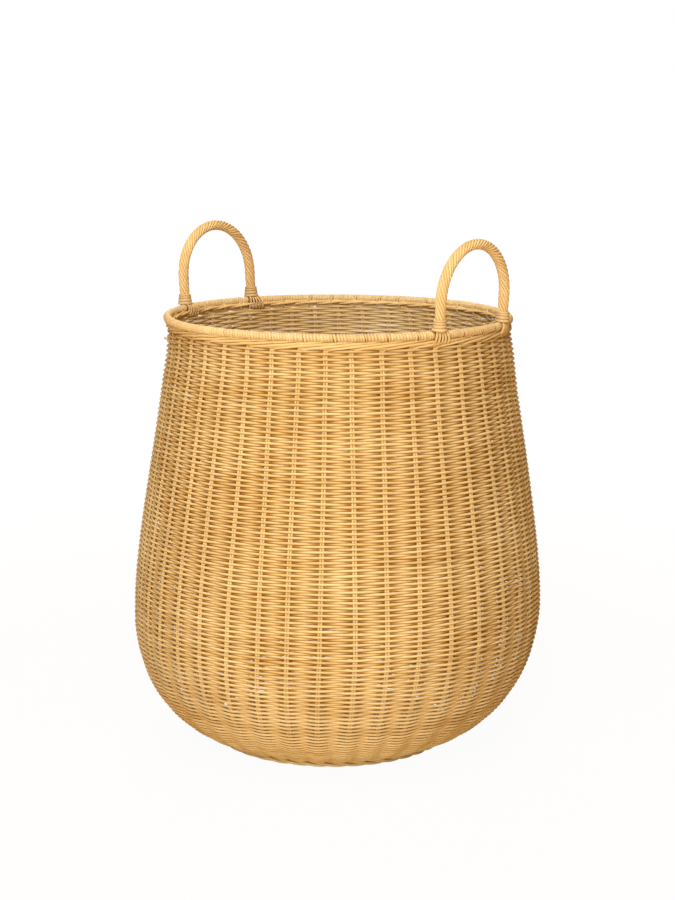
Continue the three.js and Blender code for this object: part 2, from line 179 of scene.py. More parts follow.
class Shader:
    """An emptied node tree, to which nodes are added one call at a time."""

    def __init__(self, tree: bpy.types.NodeTree) -> None:
        """Empties the tree."""
        self.tree = tree
        tree.nodes.clear()

    def node(
        self,
        kind: str,
        settings: Mapping[str, object] | None = None,
        inputs: Mapping[int | str, object] | None = None,
        output: int | str = 0,
    ) -> Wire | None:
        """Adds a node, sets it up, and links or fills its sockets.

        Args:
            kind: The node's type name.
            settings: The node's own properties, set before its sockets.
            inputs: Values or wires by socket name or number.
            output: The socket that the caller wants back.

        Returns:
            The wanted output as a wire, or nothing from a node without outputs.
        """
        made = self.tree.nodes.new(kind)
        for name, value in (settings or {}).items():
            setattr(made, name, value)
        for key, value in (inputs or {}).items():
            if isinstance(value, Wire):
                self.tree.links.new(value.socket, made.inputs[key])
            else:
                made.inputs[key].default_value = value
        return Wire(self, made.outputs[output]) if len(made.outputs) else None

    def stretched(self, vector: Wire, scale: Sequence[float]) -> Wire:
        """A vector with each of its parts scaled."""
        return self.node("ShaderNodeVectorMath", {"operation": "MULTIPLY"}, {0: vector, 1: tuple(scale)})

    def noise(self, vector: Wire, scale: float, detail: float = 2.0) -> Wire:
        """Smooth noise from 0 to 1 over a vector."""
        sockets = {"Vector": vector, "Scale": scale, "Detail": detail, "Roughness": 0.55}
        return self.node("ShaderNodeTexNoise", {"noise_dimensions": "3D"}, sockets, "Fac")

    def blend(self, share: Wire, first: Wire | Colour, second: Wire | Colour) -> Wire:
        """Blends two colours.

        Args:
            share: The share of the second, where 0 or less gives the first, and 1 or more the second.
            first: The first colour.
            second: The second colour.

        Returns:
            The blend.
        """
        first, second = (end if isinstance(end, Wire) else (*end, 1.0) for end in (first, second))
        return self.node(
            "ShaderNodeMix", {"data_type": "RGBA", "clamp_factor": True}, {0: share, 6: first, 7: second}, 2,
        )


def linear(code: str) -> Colour:
    """A screen colour such as d9a55b as the linear colour that a shader takes."""
    parts = [int(code[i:i + 2], 16) / 255 for i in (0, 2, 4)]
    return tuple(c / 12.92 if c <= 0.04045 else ((c + 0.055) / 1.055) ** 2.4 for c in parts)


@dataclass(frozen=True)
class Cane:
    """A rattan finish: fibres along each rod, tones that change from rod to rod, and the painted shade and
    painted light that the pieces add to the tone.

    Attributes:
        name: The material's name.
        deep: The darkest tone, as a screen colour.
        pale: The lightest tone, as a screen colour.
        gap: The painted shade in the deepest gaps between rods, as a screen colour.
        rod_share: How much of the tone is each rod's own.
        stain_share: How much of the tone wanders along a rod.
        fibre_share: How much of the tone is fine fibre.
        roughness: How matt the surface is.
        fibre_depth: How deep the fibres are cut, in metres.
        sheen: How much light the skin mirrors.
        fibre_scale: How fine the fibres are, across a rod twice and along it.
        stain_scale: How fine the stains are, the same way.
        cloud_scale: How fine the tone is that wanders over the whole basket.
        cloud_share: How much of the tone that is.
        gap_shade_rate: How fast a rod that painted shade takes below its deepest tone turns to the painted
            shade of the gaps.
        roughness_spread: How much the stains change the roughness.
    """

    name: str
    deep: str
    pale: str
    gap: str = "7e4a10"
    rod_share: float = 0.4
    stain_share: float = 0.3
    fibre_share: float = 0.12
    roughness: float = 0.5
    fibre_depth: float = 0.00004
    sheen: float = 0.06
    fibre_scale: tuple[float, float, float] = (1300.0, 1300.0, 45.0)
    stain_scale: tuple[float, float, float] = (60.0, 60.0, 22.0)
    cloud_scale: float = 9.0
    cloud_share: float = 0.5
    gap_shade_rate: float = 1.8
    roughness_spread: float = 0.2

    def material(self) -> bpy.types.Material:
        """Builds the finish out of shader nodes.

        Returns:
            The material.
        """
        made = bpy.data.materials.new(self.name)
        made.use_nodes = True
        shader = Shader(made.node_tree)
        lay = shader.node("ShaderNodeAttribute", {"attribute_name": Rods.LAY}, output="Vector")
        tone = shader.node("ShaderNodeAttribute", {"attribute_name": Rods.TONE_AND_SHADE}, output="Fac")
        place = shader.node("ShaderNodeTexCoord", output="Object")
        fibre = shader.noise(shader.stretched(lay, self.fibre_scale), 1.0)
        stain = shader.noise(shader.stretched(lay, self.stain_scale), 1.0)
        cloud = shader.noise(place, self.cloud_scale, 1.0)
        # The share mixes the tone attribute, painted shade and painted light included, with stains, fibres
        # and cloud.
        share = (
            0.5 + (tone - 0.5) * self.rod_share + (stain - 0.5) * (2 * self.stain_share)
            + (fibre - 0.5) * self.fibre_share + (cloud - 0.5) * self.cloud_share
        )
        skin = shader.blend(share, linear(self.deep), linear(self.pale))
        # Where the share falls below 0, mostly through painted shade, the colour turns to the painted shade
        # of the gaps.
        colour = shader.blend(share * -self.gap_shade_rate, skin, linear(self.gap))
        relief = shader.node(
            "ShaderNodeBump", {}, {"Strength": 1.0, "Distance": self.fibre_depth, "Height": fibre},
        )
        surface = shader.node(
            "ShaderNodeBsdfPrincipled", {},
            {
                "Base Color": colour,
                "Roughness": self.roughness + (stain - 0.5) * self.roughness_spread,
                "Specular IOR Level": self.sheen,
                "Normal": relief,
            },
        )
        shader.node("ShaderNodeOutputMaterial", {}, {"Surface": surface})
        return made


@dataclass(frozen=True)
class Finishes:
    """The basket's finishes, by the record's slots.

    Attributes:
        weave: The rods of the wall, the foot and the base.
        stake: The upright rods and the base sticks.
        border: The stake ends laid down under the rim.
        peel: The flat peel of the rim and of the bound legs.
        rope: The strands of the handles.
        core: The bent canes inside the rim and the handles.
    """

    weave: Cane = Cane("honey_cane", deep="ba8c42", pale="efd8a1")
    stake: Cane = Cane("stake_cane", deep="d5ad65", pale="f8e2ab")
    border: Cane = Cane("border_cane", deep="c99c50", pale="f8dda1")
    peel: Cane = Cane(
        "pale_peel", deep="a87b3c", pale="e8cd97", rod_share=0.9, stain_share=0.2, fibre_share=0.06,
        roughness=0.42, sheen=0.2,
    )
    rope: Cane = Cane(
        "roped_cane", deep="bd8b44", pale="f0d69c", rod_share=0.5, stain_share=0.2, fibre_share=0.0,
        roughness=0.6, fibre_depth=0.000002, sheen=0.05,
    )
    core: Cane = Cane("bent_cane", deep="9a6a34", pale="c99a5c")

    def materials(self) -> Materials:
        """Every finish as a material."""
        return {slot: getattr(self, slot.value).material() for slot in Slot}


# Rods


@dataclass
class Rod:
    """One rod, by the line that its centre follows.

    Attributes:
        points: The centre line, one row for each point.
        radii: The radius at each point, given as one number where it is the same all along.
        tone: The rod's own tone, from 0 for dark to 1 for pale.
        closed: Whether the line runs back into its start.
    """

    points: np.ndarray
    radii: np.ndarray | float
    tone: float = 0.5
    closed: bool = False

    def __post_init__(self) -> None:
        """Gives every point its radius."""
        self.radii = np.broadcast_to(self.radii, len(self.points)).astype(float)


class Facing(Enum):
    """Which way the first corner of a rod's section is kept."""

    STEADY = "MINIMUM"
    UPRIGHT = "Z_UP"


class Rods:
    """Rods of one piece, swept as one mesh that knows which way its fibres run."""

    LAY = "lay"
    # The vertex attribute that holds each rod's own tone, with painted shade and painted light added to it.
    TONE_AND_SHADE = "tone"

    def __init__(self, name: str, sides: int = 8, facing: Facing = Facing.STEADY) -> None:
        """Starts a piece without rods.

        Args:
            name: The piece's name.
            sides: The corners of each rod's section, an even number from 4.
            facing: How the section is kept from turning along the rod.
        """
        self.name = name
        self.sides = sides
        self.facing = facing
        self.rods: list[Rod] = []

    def add(self, rod: Rod) -> None:
        """Adds one rod."""
        self.rods.append(rod)

    def triangles(self) -> int:
        """About how many triangles the piece will have."""
        return sum(2 * self.sides * len(rod.points) for rod in self.rods)

    def sweep(self) -> bpy.types.Mesh:
        """Sweeps every rod along its line, with the ends left open.

        Returns:
            The marked mesh, whose vertices run ring by ring along each rod.
        """
        curve = bpy.data.curves.new(self.name, "CURVE")
        curve.dimensions = "3D"
        curve.bevel_mode = "ROUND"
        curve.bevel_depth = 1.0
        curve.bevel_resolution = self.sides // 2 - 2
        curve.twist_mode = self.facing.value
        for rod in self.rods:
            count = len(rod.points)
            spline = curve.splines.new("POLY")
            spline.points.add(count - 1)
            spline.use_cyclic_u = rod.closed
            spline.points.foreach_set("co", np.c_[rod.points, np.ones(count)].ravel())
            spline.points.foreach_set("radius", rod.radii)
        carrier = bpy.data.objects.new(self.name, curve)
        bpy.context.scene.collection.objects.link(carrier)
        graph = bpy.context.evaluated_depsgraph_get()
        mesh = bpy.data.meshes.new_from_object(carrier.evaluated_get(graph))
        bpy.data.objects.remove(carrier)
        bpy.data.curves.remove(curve)
        self._mark(mesh)
        return mesh

    def arms(self, mesh: bpy.types.Mesh) -> np.ndarray:
        """Which way each vertex of the swept mesh faces.

        Args:
            mesh: The swept mesh.

        Returns:
            For each vertex, the unit direction from its rod's line.
        """
        lines = np.repeat(np.concatenate([rod.points for rod in self.rods]), self.sides, axis=0)
        arm = vertices_of(mesh) - lines
        return arm / np.linalg.norm(arm, axis=1, keepdims=True)

    def _mark(self, mesh: bpy.types.Mesh) -> None:
        """Writes each vertex's place along and across its own rod, and the rod's tone.

        Args:
            mesh: The swept mesh.
        """
        random = np.random.default_rng(len(self.rods) + len(mesh.vertices))
        corner = np.arange(self.sides) * FULL_TURN / self.sides
        lays, tones = [], []
        for rod in self.rods:
            steps = np.linalg.norm(np.diff(rod.points, axis=0), axis=1)
            along = np.r_[0.0, np.cumsum(steps)] + random.uniform(0, 40)
            offset = random.uniform(0, 1, 2)
            lay = np.empty((len(rod.points), self.sides, 3))
            lay[..., 0] = np.outer(rod.radii, np.cos(corner)) + offset[0]
            lay[..., 1] = np.outer(rod.radii, np.sin(corner)) + offset[1]
            lay[..., 2] = along[:, None]
            lays.append(lay.reshape(-1, 3))
            tones.append(np.full(len(rod.points) * self.sides, rod.tone))
        lay, tone = np.concatenate(lays), np.concatenate(tones)
        if len(lay) != len(mesh.vertices):
            raise ValueError(f"{self.name}: {len(lay)} marks for {len(mesh.vertices)} vertices")
        set_marks(mesh, lay, tone)


def set_marks(mesh: bpy.types.Mesh, lay: np.ndarray, tone: np.ndarray) -> None:
    """Writes the two attributes that the cane finishes read.

    Args:
        mesh: The mesh to mark.
        lay: For each vertex, its place across and along the fibres.
        tone: For each vertex, its tone from 0 to 1, with any painted shade added.
    """
    held = mesh.attributes.get(Rods.LAY) or mesh.attributes.new(Rods.LAY, "FLOAT_VECTOR", "POINT")
    held.data.foreach_set("vector", np.ascontiguousarray(lay, dtype=np.float32).ravel())
    held = mesh.attributes.get(Rods.TONE_AND_SHADE) or mesh.attributes.new(Rods.TONE_AND_SHADE, "FLOAT", "POINT")
    held.data.foreach_set("value", np.ascontiguousarray(tone, dtype=np.float32))


def shade(mesh: bpy.types.Mesh, change: np.ndarray) -> None:
    """Adds painted shade and painted light to the tone of each vertex.

    Args:
        mesh: The marked mesh.
        change: For each vertex, what is added to its tone.
    """
    held = mesh.attributes[Rods.TONE_AND_SHADE]
    tone = np.empty(len(mesh.vertices))
    held.data.foreach_get("value", tone)
    held.data.foreach_set("value", (tone + change).astype(np.float32))


def vertices_of(mesh: bpy.types.Mesh) -> np.ndarray:
    """Reads where a mesh's vertices are.

    Args:
        mesh: The mesh.

    Returns:
        The vertices, one row each.
    """
    places = np.empty(len(mesh.vertices) * 3)
    mesh.vertices.foreach_get("co", places)
    return places.reshape(-1, 3)


def ramp(value: np.ndarray | float, start: float, stop: float) -> np.ndarray:
    """How far a value is on its way from a start to a stop.

    Args:
        value: The values.
        start: The value that gives 0, like every value before it.
        stop: The value that gives 1, like every value past it. It may lie below the start.

    Returns:
        For each value, a share from 0 to 1.
    """
    return np.clip((value - start) / (stop - start), 0, 1)


def round_axis(azimuth: np.ndarray, radius: np.ndarray | float, height: np.ndarray | float) -> np.ndarray:
    """Points by their place round the basket's axis.

    Args:
        azimuth: The angle about +Z from +X, in radians.
        radius: The distance from the axis.
        height: The height.

    Returns:
        The points, one row each.
    """
    return np.stack(np.broadcast_arrays(radius * np.cos(azimuth), radius * np.sin(azimuth), height), -1)


def chance_tone(random: np.random.Generator, middle: float, spread: float) -> float:
    """A rod's own tone from 0 to 1, by chance round a middle."""
    return float(np.clip(random.normal(middle, spread), 0, 1))


def show(
    mesh: bpy.types.Mesh, name: str, slot: Slot, nodes: Sequence[str], finishes: Materials, turn: float = 0.0,
) -> None:
    """Closes a swept mesh, dresses it, and puts it in the scene in place of frame nodes.

    Args:
        mesh: The swept mesh.
        name: The piece's name.
        slot: The record's slot that its finish comes from.
        nodes: The frame nodes that it stands for.
        finishes: The material of each slot.
        turn: A turn about +Z, in radians.
    """
    work = bmesh.new()
    work.from_mesh(mesh)
    open_edges = [edge for edge in work.edges if edge.is_boundary]
    if open_edges:
        bmesh.ops.holes_fill(work, edges=open_edges, sides=0)
    if turn:
        bmesh.ops.rotate(work, cent=Vector(), matrix=Matrix.Rotation(turn, 3, "Z"), verts=work.verts)
    for face in work.faces:
        face.smooth = len(face.verts) == 4
    work.to_mesh(mesh)
    work.free()
    mesh.name = name
    mesh.materials.clear()
    mesh.materials.append(finishes[slot])
    piece = bpy.data.objects.new(name, mesh)
    bpy.context.scene.collection.objects.link(piece)
    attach(piece, BODY)
    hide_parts(*nodes)
    LOG.info("%s: %d faces for %s", name, len(mesh.polygons), ", ".join(nodes))


def smooth_line(knots: Sequence[Sequence[float]], count: int) -> np.ndarray:
    """A smooth line through knots, sampled evenly from knot to knot.

    Args:
        knots: The points that the line passes through.
        count: How many points to return.

    Returns:
        The points, one row each.
    """
    held = np.asarray(knots, float)
    padded = np.vstack([2 * held[0] - held[1], held, 2 * held[-1] - held[-2]])
    place = np.linspace(0, len(held) - 1 - 1e-9, count)
    first = place.astype(int)
    t = (place - first)[:, None]
    a, b, c, d = (padded[first + k] for k in range(4))
    bend, twist = 2 * a - 5 * b + 4 * c - d, 3 * b - a - 3 * c + d
    return 0.5 * (2 * b + (c - a) * t + bend * t ** 2 + twist * t ** 3)


# The wall's outline, which everything woven follows


def wandering(turn: np.ndarray | float, distance: np.ndarray | float, waves: Waves) -> np.ndarray:
    """How hand work wanders off its even way, as a sum of slow slanting waves.

    Args:
        turn: The angle round the basket.
        distance: The distance up the wall.
        waves: For each wave, how often it goes round, how fast it climbs, and where it starts.

    Returns:
        The sum, up to the number of waves either way.
    """
    return sum(np.sin(rounds * turn + climb * distance + start) for rounds, climb, start in waves)


@dataclass(frozen=True)
class Zone:
    """A stretch of height or depth over which a change sets in.

    Attributes:
        start: Where it starts.
        full: Where it is full. It may lie below the start.
        amount: How much the change is where it is full.
    """

    start: float
    full: float
    amount: float

    def at(self, value: np.ndarray) -> np.ndarray:
        """The change at each height or depth."""
        return self.amount * ramp(value, self.start, self.full)


@dataclass
class Outline:
    """The wall's outer line, from the foot up to the mouth, by the distance along it.

    Attributes:
        foot_radius: The outer radius at the foot.
        foot_lift: How far the weave starts over the bottom of its solid, so that the foot ring shows.
        mouth_radius: The outer radius at the top of the weave.
        belly_height: The height of the widest place.
        thickness: The weave's thickness, three rods.
        pairs: How many stake pairs stand in the wall.
        phase_degrees: The azimuth of the first pair.
        sway: How far a stake pair wanders sideways, as a share of the gap between pairs.
        gather: How far the pairs stand off their even places where they are least even, as that share.
        gather_place: Where that is, counted in pairs.
        gather_width: How many pairs it fades over.
        offset: How far every pair stands from its solid, as that share.
        drift: How far the rows wander up and down.
        drift_fade: The distance from the foot and from the mouth over which the rows come to rest.
        sway_waves: The waves that the stake pairs wander by.
        drift_waves: The waves that the rows wander by.
        lower_shares: What pulls the line below the belly: how far out and how high it is pulled near
            the foot, and how high near the belly.
        upper_shares: What pulls it over the belly: how high near the belly, and how far out and how
            far under the mouth near that.
        shifts: Heights, each with how far the wall has moved to the camera's right there.
        shift_azimuth_degrees: The azimuth of that direction.
        samples: Points on each half of the line.
        reading: The distance either way over which the line's direction is read.
        belly_radius: The outer radius at the widest place, from the solid.
        foot_height: The height at which the weave starts.
        mouth_height: The height of the top of the weave.
        line: The line's points, each a radius and a height.
        distance: How far along the line each of them lies.
    """

    foot_radius: float = 0.1415
    foot_lift: float = 0.0042
    mouth_radius: float = 0.200
    belly_height: float = 0.160
    thickness: float = 0.00825
    pairs: int = 41
    phase_degrees: float = -1.9
    sway: float = 0.03
    gather: float = 0.36
    gather_place: float = 0.9
    gather_width: float = 2.7
    offset: float = 0.02
    drift: float = 0.0011
    drift_fade: float = 0.03
    sway_waves: Waves = ((5, 3.1, 0.4), (9, -5.3, 2.1), (14, 8.7, 4.4))
    drift_waves: Waves = ((3, 31, 0.0), (7, -47, 1.3), (11, 83, 3.9))
    lower_shares: tuple[float, float, float] = (0.57, 0.14, 0.50)
    upper_shares: tuple[float, float, float] = (0.26, 0.27, 0.33)
    shifts: tuple[tuple[float, float], ...] = (
        (0.0, -0.0105), (0.012, -0.0060), (0.16, 0.001), (0.35, 0.0022),
        (0.425, 0.0018), (0.465, 0.0025), (0.488, 0.0012), (0.498, 0.0),
    )
    shift_azimuth_degrees: float = 40.0
    samples: int = 200
    reading: float = 0.002
    belly_radius: float = field(init=False)
    foot_height: float = field(init=False)
    mouth_height: float = field(init=False)
    line: np.ndarray = field(init=False)
    distance: np.ndarray = field(init=False)

    def __post_init__(self) -> None:
        """Reads the wall's box from the frame, and samples the line."""
        low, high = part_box("side_weave")
        self.belly_radius = max(high.x, high.y, -low.x, -low.y)
        self.foot_height, self.mouth_height = low.z + self.foot_lift, high.z
        spread, rise, drop = self.lower_shares
        climb, mouth_spread, mouth_drop = self.upper_shares
        belly_rise = self.mouth_height - self.belly_height
        belly = (self.belly_radius, self.belly_height)
        lower = self._bow(
            (self.foot_radius, self.foot_height),
            (self._between(self.foot_radius, spread), self.belly_height * rise),
            (self.belly_radius, self.belly_height * drop),
            belly,
        )
        upper = self._bow(
            belly,
            (self.belly_radius, self.belly_height + belly_rise * climb),
            (self._between(self.mouth_radius, mouth_spread), self.mouth_height - belly_rise * mouth_drop),
            (self.mouth_radius, self.mouth_height),
        )
        self.line = np.vstack([lower, upper[1:]])
        self.distance = np.r_[0.0, np.cumsum(np.linalg.norm(np.diff(self.line, axis=0), axis=1))]

    def _between(self, radius: float, share: float) -> float:
        """A radius between the given one and the belly's."""
        return radius + share * (self.belly_radius - radius)

    def _bow(self, *knots: Sequence[float]) -> np.ndarray:
        """Draws a cubic curve.

        Args:
            knots: Its start, the two points that pull at it, and its end.

        Returns:
            Points along it, one row each.
        """
        t = np.linspace(0, 1, self.samples)[:, None]
        a, b, c, d = np.asarray(knots, float)
        return (1 - t) ** 3 * a + 3 * t * (1 - t) ** 2 * b + 3 * t ** 2 * (1 - t) * c + t ** 3 * d

    @property
    def pitch(self) -> float:
        """The angle from one stake pair to the next."""
        return FULL_TURN / self.pairs

    @property
    def phase(self) -> float:
        """The azimuth of the first pair, in radians."""
        return math.radians(self.phase_degrees)

    @property
    def length(self) -> float:
        """The length of the line."""
        return float(self.distance[-1])

    @property
    def _aside(self) -> np.ndarray:
        """The direction in which the wall has moved."""
        return round_axis(math.radians(self.shift_azimuth_degrees), 1.0, 0.0)

    def _sample(self, distance: np.ndarray | float) -> np.ndarray:
        """Radius and height of the line itself."""
        return np.stack([np.interp(distance, self.distance, self.line[:, i]) for i in (0, 1)], -1)

    def level(self, distance: np.ndarray | float, depth: np.ndarray | float) -> tuple[np.ndarray, np.ndarray]:
        """Radius and height of places in the wall.

        Args:
            distance: The distance up the line, which may run past its ends.
            depth: How far in from the line.

        Returns:
            The radii, and the heights.
        """
        low = np.clip(distance - self.reading, 0, self.length - 2 * self.reading)
        here = self._sample(low + self.reading)
        upward = self._sample(low + 2 * self.reading) - self._sample(low)
        upward /= np.linalg.norm(upward, axis=-1, keepdims=True)
        beyond = distance - (low + self.reading)
        radius = here[..., 0] + upward[..., 0] * beyond - upward[..., 1] * depth
        height = here[..., 1] + upward[..., 1] * beyond + upward[..., 0] * depth
        return radius, height

    def rise(self, distance: np.ndarray) -> np.ndarray:
        """How much the line's radius grows with the distance along it."""
        above, below = (self.level(distance + step, 0.0)[0] for step in (self.reading, -self.reading))
        return (above - below) / (2 * self.reading)

    def around(self, points: np.ndarray) -> tuple[np.ndarray, np.ndarray, np.ndarray]:
        """How the wall lies near points.

        Args:
            points: The points, one row each.

        Returns:
            For each point, the direction up the wall, the direction out of it, and how deep the point
            lies in from its outer skin.
        """
        stood = points - self._moved(points)
        away = np.hypot(stood[:, 0], stood[:, 1])
        flat = stood[:, :2] / away[:, None]
        steps = np.diff(self.line, axis=0)
        steps /= np.linalg.norm(steps, axis=1, keepdims=True)
        spread, climb = (np.interp(points[:, 2], self.line[1:, 1], steps[:, i]) for i in (0, 1))
        skin = np.interp(points[:, 2], self.line[:, 1], self.line[:, 0])
        upward = np.c_[flat * spread[:, None], climb]
        outward = np.c_[flat * climb[:, None], -spread]
        return upward, outward, (skin - away) * climb

    def swayed(self, place: np.ndarray | float, distance: np.ndarray | float) -> np.ndarray:
        """Where stake pairs stand that are not quite evenly spaced.

        Args:
            place: The place, counted in stake pairs.
            distance: The distance up the line.

        Returns:
            The azimuths.
        """
        shift = wandering(FULL_TURN * place / self.pairs, distance, self.sway_waves)
        near = np.mod(place - self.gather_place + self.pairs / 2, self.pairs) - self.pairs / 2
        lean = self.offset + self.gather * np.exp(-(near / self.gather_width) ** 2)
        return self.phase + (place + lean + self.sway * shift) * self.pitch

    def drifted(self, azimuth: np.ndarray, distance: np.ndarray) -> np.ndarray:
        """Where rows run that rise and fall together, as in hand weaving.

        Args:
            azimuth: The angle round the basket.
            distance: The distance up the line that an even row would have.

        Returns:
            The distances up the line.
        """
        shift = wandering(azimuth, distance, self.drift_waves) / len(self.drift_waves)
        freedom = ramp(np.minimum(distance, self.length - distance), 0, self.drift_fade)
        return distance + self.drift * shift * freedom

    def _moved(self, points: np.ndarray) -> np.ndarray:
        """How far the wall has moved sideways at the heights of points."""
        heights, moves = zip(*self.shifts)
        return np.interp(points[..., 2], heights, moves)[..., None] * self._aside

    def shifted(self, points: np.ndarray) -> np.ndarray:
        """Points moved sideways as the wall leans at their heights."""
        return points + self._moved(points)

    def stood(self, points: np.ndarray) -> np.ndarray:
        """Points moved sideways as far as the middle of the wall's foot is."""
        return points + self.shifts[1][1] * self._aside

    def place(
        self, azimuth: np.ndarray, distance: np.ndarray | float, depth: np.ndarray | float,
    ) -> np.ndarray:
        """Points on the wall.

        Args:
            azimuth: The angle round the basket.
            distance: The distance up the line.
            depth: How far in from the outer skin.

        Returns:
            The points, one row each.
        """
        return self.shifted(round_axis(azimuth, *self.level(distance, depth)))


# The woven wall


@dataclass
class SideWeave:
    """One thin weaver in plain weave, up the wall in a spiral.

    Attributes:
        outline: The wall's outline.
        finishes: The material of each slot.
        rod_radius: The weaver's radius.
        row_pitch: The distance from one row to the next.
        start: The distance up the outline of the first row.
        stop: How far below the mouth the last row ends.
        swing: How far a rod's line swings out and in past the stakes, as a share of the thickness.
        tip: How steeply a row's outer crossings stand over its inner ones at the front, and under them
            at the back.
        level_share: How far the crossings at the sides lie level, where the wall leans.
        front: The azimuth that the camera sees from.
        swell: How much thicker a rod looks where it is pressed against the stakes.
        unevenness: How much a rod's thickness changes along it.
        uneven_rate: How fast it does, in radians for each stake pair.
        thinning: The change of thickness towards the foot, by the distance up the outline.
        rod_length: The length of one weaver rod, before the next takes over.
        length_range: The least and the most of that length, as shares.
        radius_range: The least and the most of a rod's radius, as shares.
        end_gap: How far the rods' ends stay off the middle of the stake pair that they meet behind,
            as a share of the gap between pairs.
        steps: Points for each stake pair that the weaver passes.
        looseness: How far single crossings stray.
        slips: The share of crossings that have slipped.
        slip: How far those stray.
        piece_triangles: How many triangles a piece has before the next is started.
        sides: Corners of a rod's section.
        tone: The middle and the spread of the rods' own tones.
        under_shade: The painted shade on the underside of a rod.
        inner_under_shade: The same inside the basket.
        cavity_shade: The painted shade between rods, by the depth from outside.
        inner_cavity_shade: The same by the depth from inside.
        low_rows_shade: The painted shade on the upper side of the rods low down, by the height.
        last_rows_light: The painted light on the last rows over the foot, by the height.
        high_rows_light: The painted light on the inner face under the mouth, by the height.
        loose_azimuth: Where the cut end of a rod stands out of the wall.
        loose_drop: How far below the mouth that is.
        loose_depths: How deep in the wall it starts, and how far out it ends.
        loose_slant: How much it slants aside, in radians for each metre in.
        seed: The seed of the weaver's chances.
    """

    outline: Outline
    finishes: Materials
    rod_radius: float = 0.00146
    row_pitch: float = 0.00286
    start: float = 0.0045
    stop: float = -0.0031
    swing: float = 0.28
    tip: float = 0.13
    level_share: float = 1.0
    front: float = math.radians(-50.0)
    swell: float = 0.04
    unevenness: float = 0.02
    uneven_rate: float = 0.7
    thinning: Zone = Zone(0.085, 0.035, -0.11)
    rod_length: float = 3.9
    length_range: tuple[float, float] = (0.75, 1.2)
    radius_range: tuple[float, float] = (0.97, 1.02)
    end_gap: float = 0.06
    steps: int = 6
    looseness: float = 0.00006
    slips: float = 0.012
    slip: float = 0.0004
    piece_triangles: int = 160_000
    sides: int = 8
    tone: tuple[float, float] = (0.6, 0.13)
    under_shade: float = 1.08
    inner_under_shade: float = 0.648
    cavity_shade: Zone = Zone(0.0030, 0.0048, -1.75)
    inner_cavity_shade: Zone = Zone(0.0034, 0.0052, -0.35)
    low_rows_shade: Zone = Zone(0.08, 0.03, -1.2)
    last_rows_light: Zone = Zone(0.032, 0.012, 0.9)
    high_rows_light: Zone = Zone(0.36, 0.44, 0.2)
    loose_azimuth: float = math.radians(-137.5)
    loose_drop: float = 0.0128
    loose_depths: tuple[float, float] = (0.006, -0.0030)
    loose_slant: float = 0.8
    seed: int = 11

    def build(self) -> None:
        """Weaves the wall, in pieces one above the other."""
        random = np.random.default_rng(self.seed)
        rows = (self.outline.length - self.start - self.stop) / self.row_pitch
        last = int(rows * self.outline.pairs)
        place, number = 1, 1
        rods = self._piece(number)
        while place < last:
            if rods.triangles() > self.piece_triangles:
                self._show(rods)
                number += 1
                rods = self._piece(number)
            radius = self.outline.level(self._up(place), 0.0)[0]
            length = self.rod_length * random.uniform(*self.length_range)
            passed = int(length / (radius * self.outline.pitch))
            end = min(place + passed // 2 * 2, last)
            rods.add(self._rod(place, end, random))
            place = end
        rods.add(self._loose_end())
        self._show(rods)

    def _piece(self, number: int) -> Rods:
        """An empty piece of the wall."""
        return Rods(f"side_weave_band_{number}", self.sides, Facing.UPRIGHT)

    def _show(self, rods: Rods) -> None:
        """Paints shade into one piece of the wall where little light falls, and painted light onto some rows,
        and puts it in the scene.

        Args:
            rods: The piece's rods.
        """
        mesh = rods.sweep()
        places, arms = vertices_of(mesh), rods.arms(mesh)
        upward, outward, depth = self.outline.around(places)
        above, facing, height = (arms * upward).sum(1), (arms * outward).sum(1), places[:, 2]
        # Painted shade between rods, under them and on the low rows; painted light inside under the mouth and
        # on the last rows over the foot.
        change = self.cavity_shade.at(depth) * np.clip(2 * facing, 0, 1)
        change += self.inner_cavity_shade.at(self.outline.thickness - depth) * np.clip(-2 * facing, 0, 1)
        change -= np.where(facing < 0, self.inner_under_shade, self.under_shade) * np.clip(-above - 0.1, 0, 1)
        change += self.low_rows_shade.at(height) * np.clip(above - 0.5, 0, 1)
        change += self.high_rows_light.at(height) * np.clip(-facing, 0, 1) + self.last_rows_light.at(height)
        shade(mesh, change)
        show(mesh, rods.name, Slot.WEAVE, ["side_weave"], self.finishes)

    def _up(self, place: np.ndarray | float) -> np.ndarray | float:
        """The distance up the outline that the spiral has reached at a place."""
        return self.start + place / self.outline.pairs * self.row_pitch

    def _rod(self, first: int, last: int, random: np.random.Generator) -> Rod:
        """One weaver rod, whose ends are behind stake pairs, inside the basket.

        Args:
            first: The stake pair that it starts at, counted up the spiral.
            last: The stake pair that it ends at.
            random: The source of chance.

        Returns:
            The rod.
        """
        place = np.linspace(first + self.end_gap, last - self.end_gap, (last - first) * self.steps + 1)
        even = self._up(place)
        wave = self._wave(place)
        crossings = last - first + 2
        spread = np.where(random.random((crossings, 1)) < self.slips, self.slip, self.looseness)
        stray = self._eased(random.normal(0, 1, (crossings, 2)) * spread, place - first)
        azimuth = self.outline.swayed(place, even)
        reach = self.outline.thickness * self.swing * wave
        turned = azimuth - self.front
        tipped = self.tip * np.cos(turned) + self.level_share * self.outline.rise(even) * np.sin(turned) ** 2
        distance = self.outline.drifted(azimuth, even) + stray[:, 0] + tipped * reach
        depth = self.outline.thickness / 2 - reach + stray[:, 1]
        thick = self.rod_radius * random.uniform(*self.radius_range)
        waver = self.unevenness * np.sin(place * self.uneven_rate + random.uniform(0, 6))
        radii = thick * (1 + waver + self.swell * np.abs(wave)) * (1 + self.thinning.at(even))
        return Rod(self.outline.place(azimuth, distance, depth), radii, chance_tone(random, *self.tone))

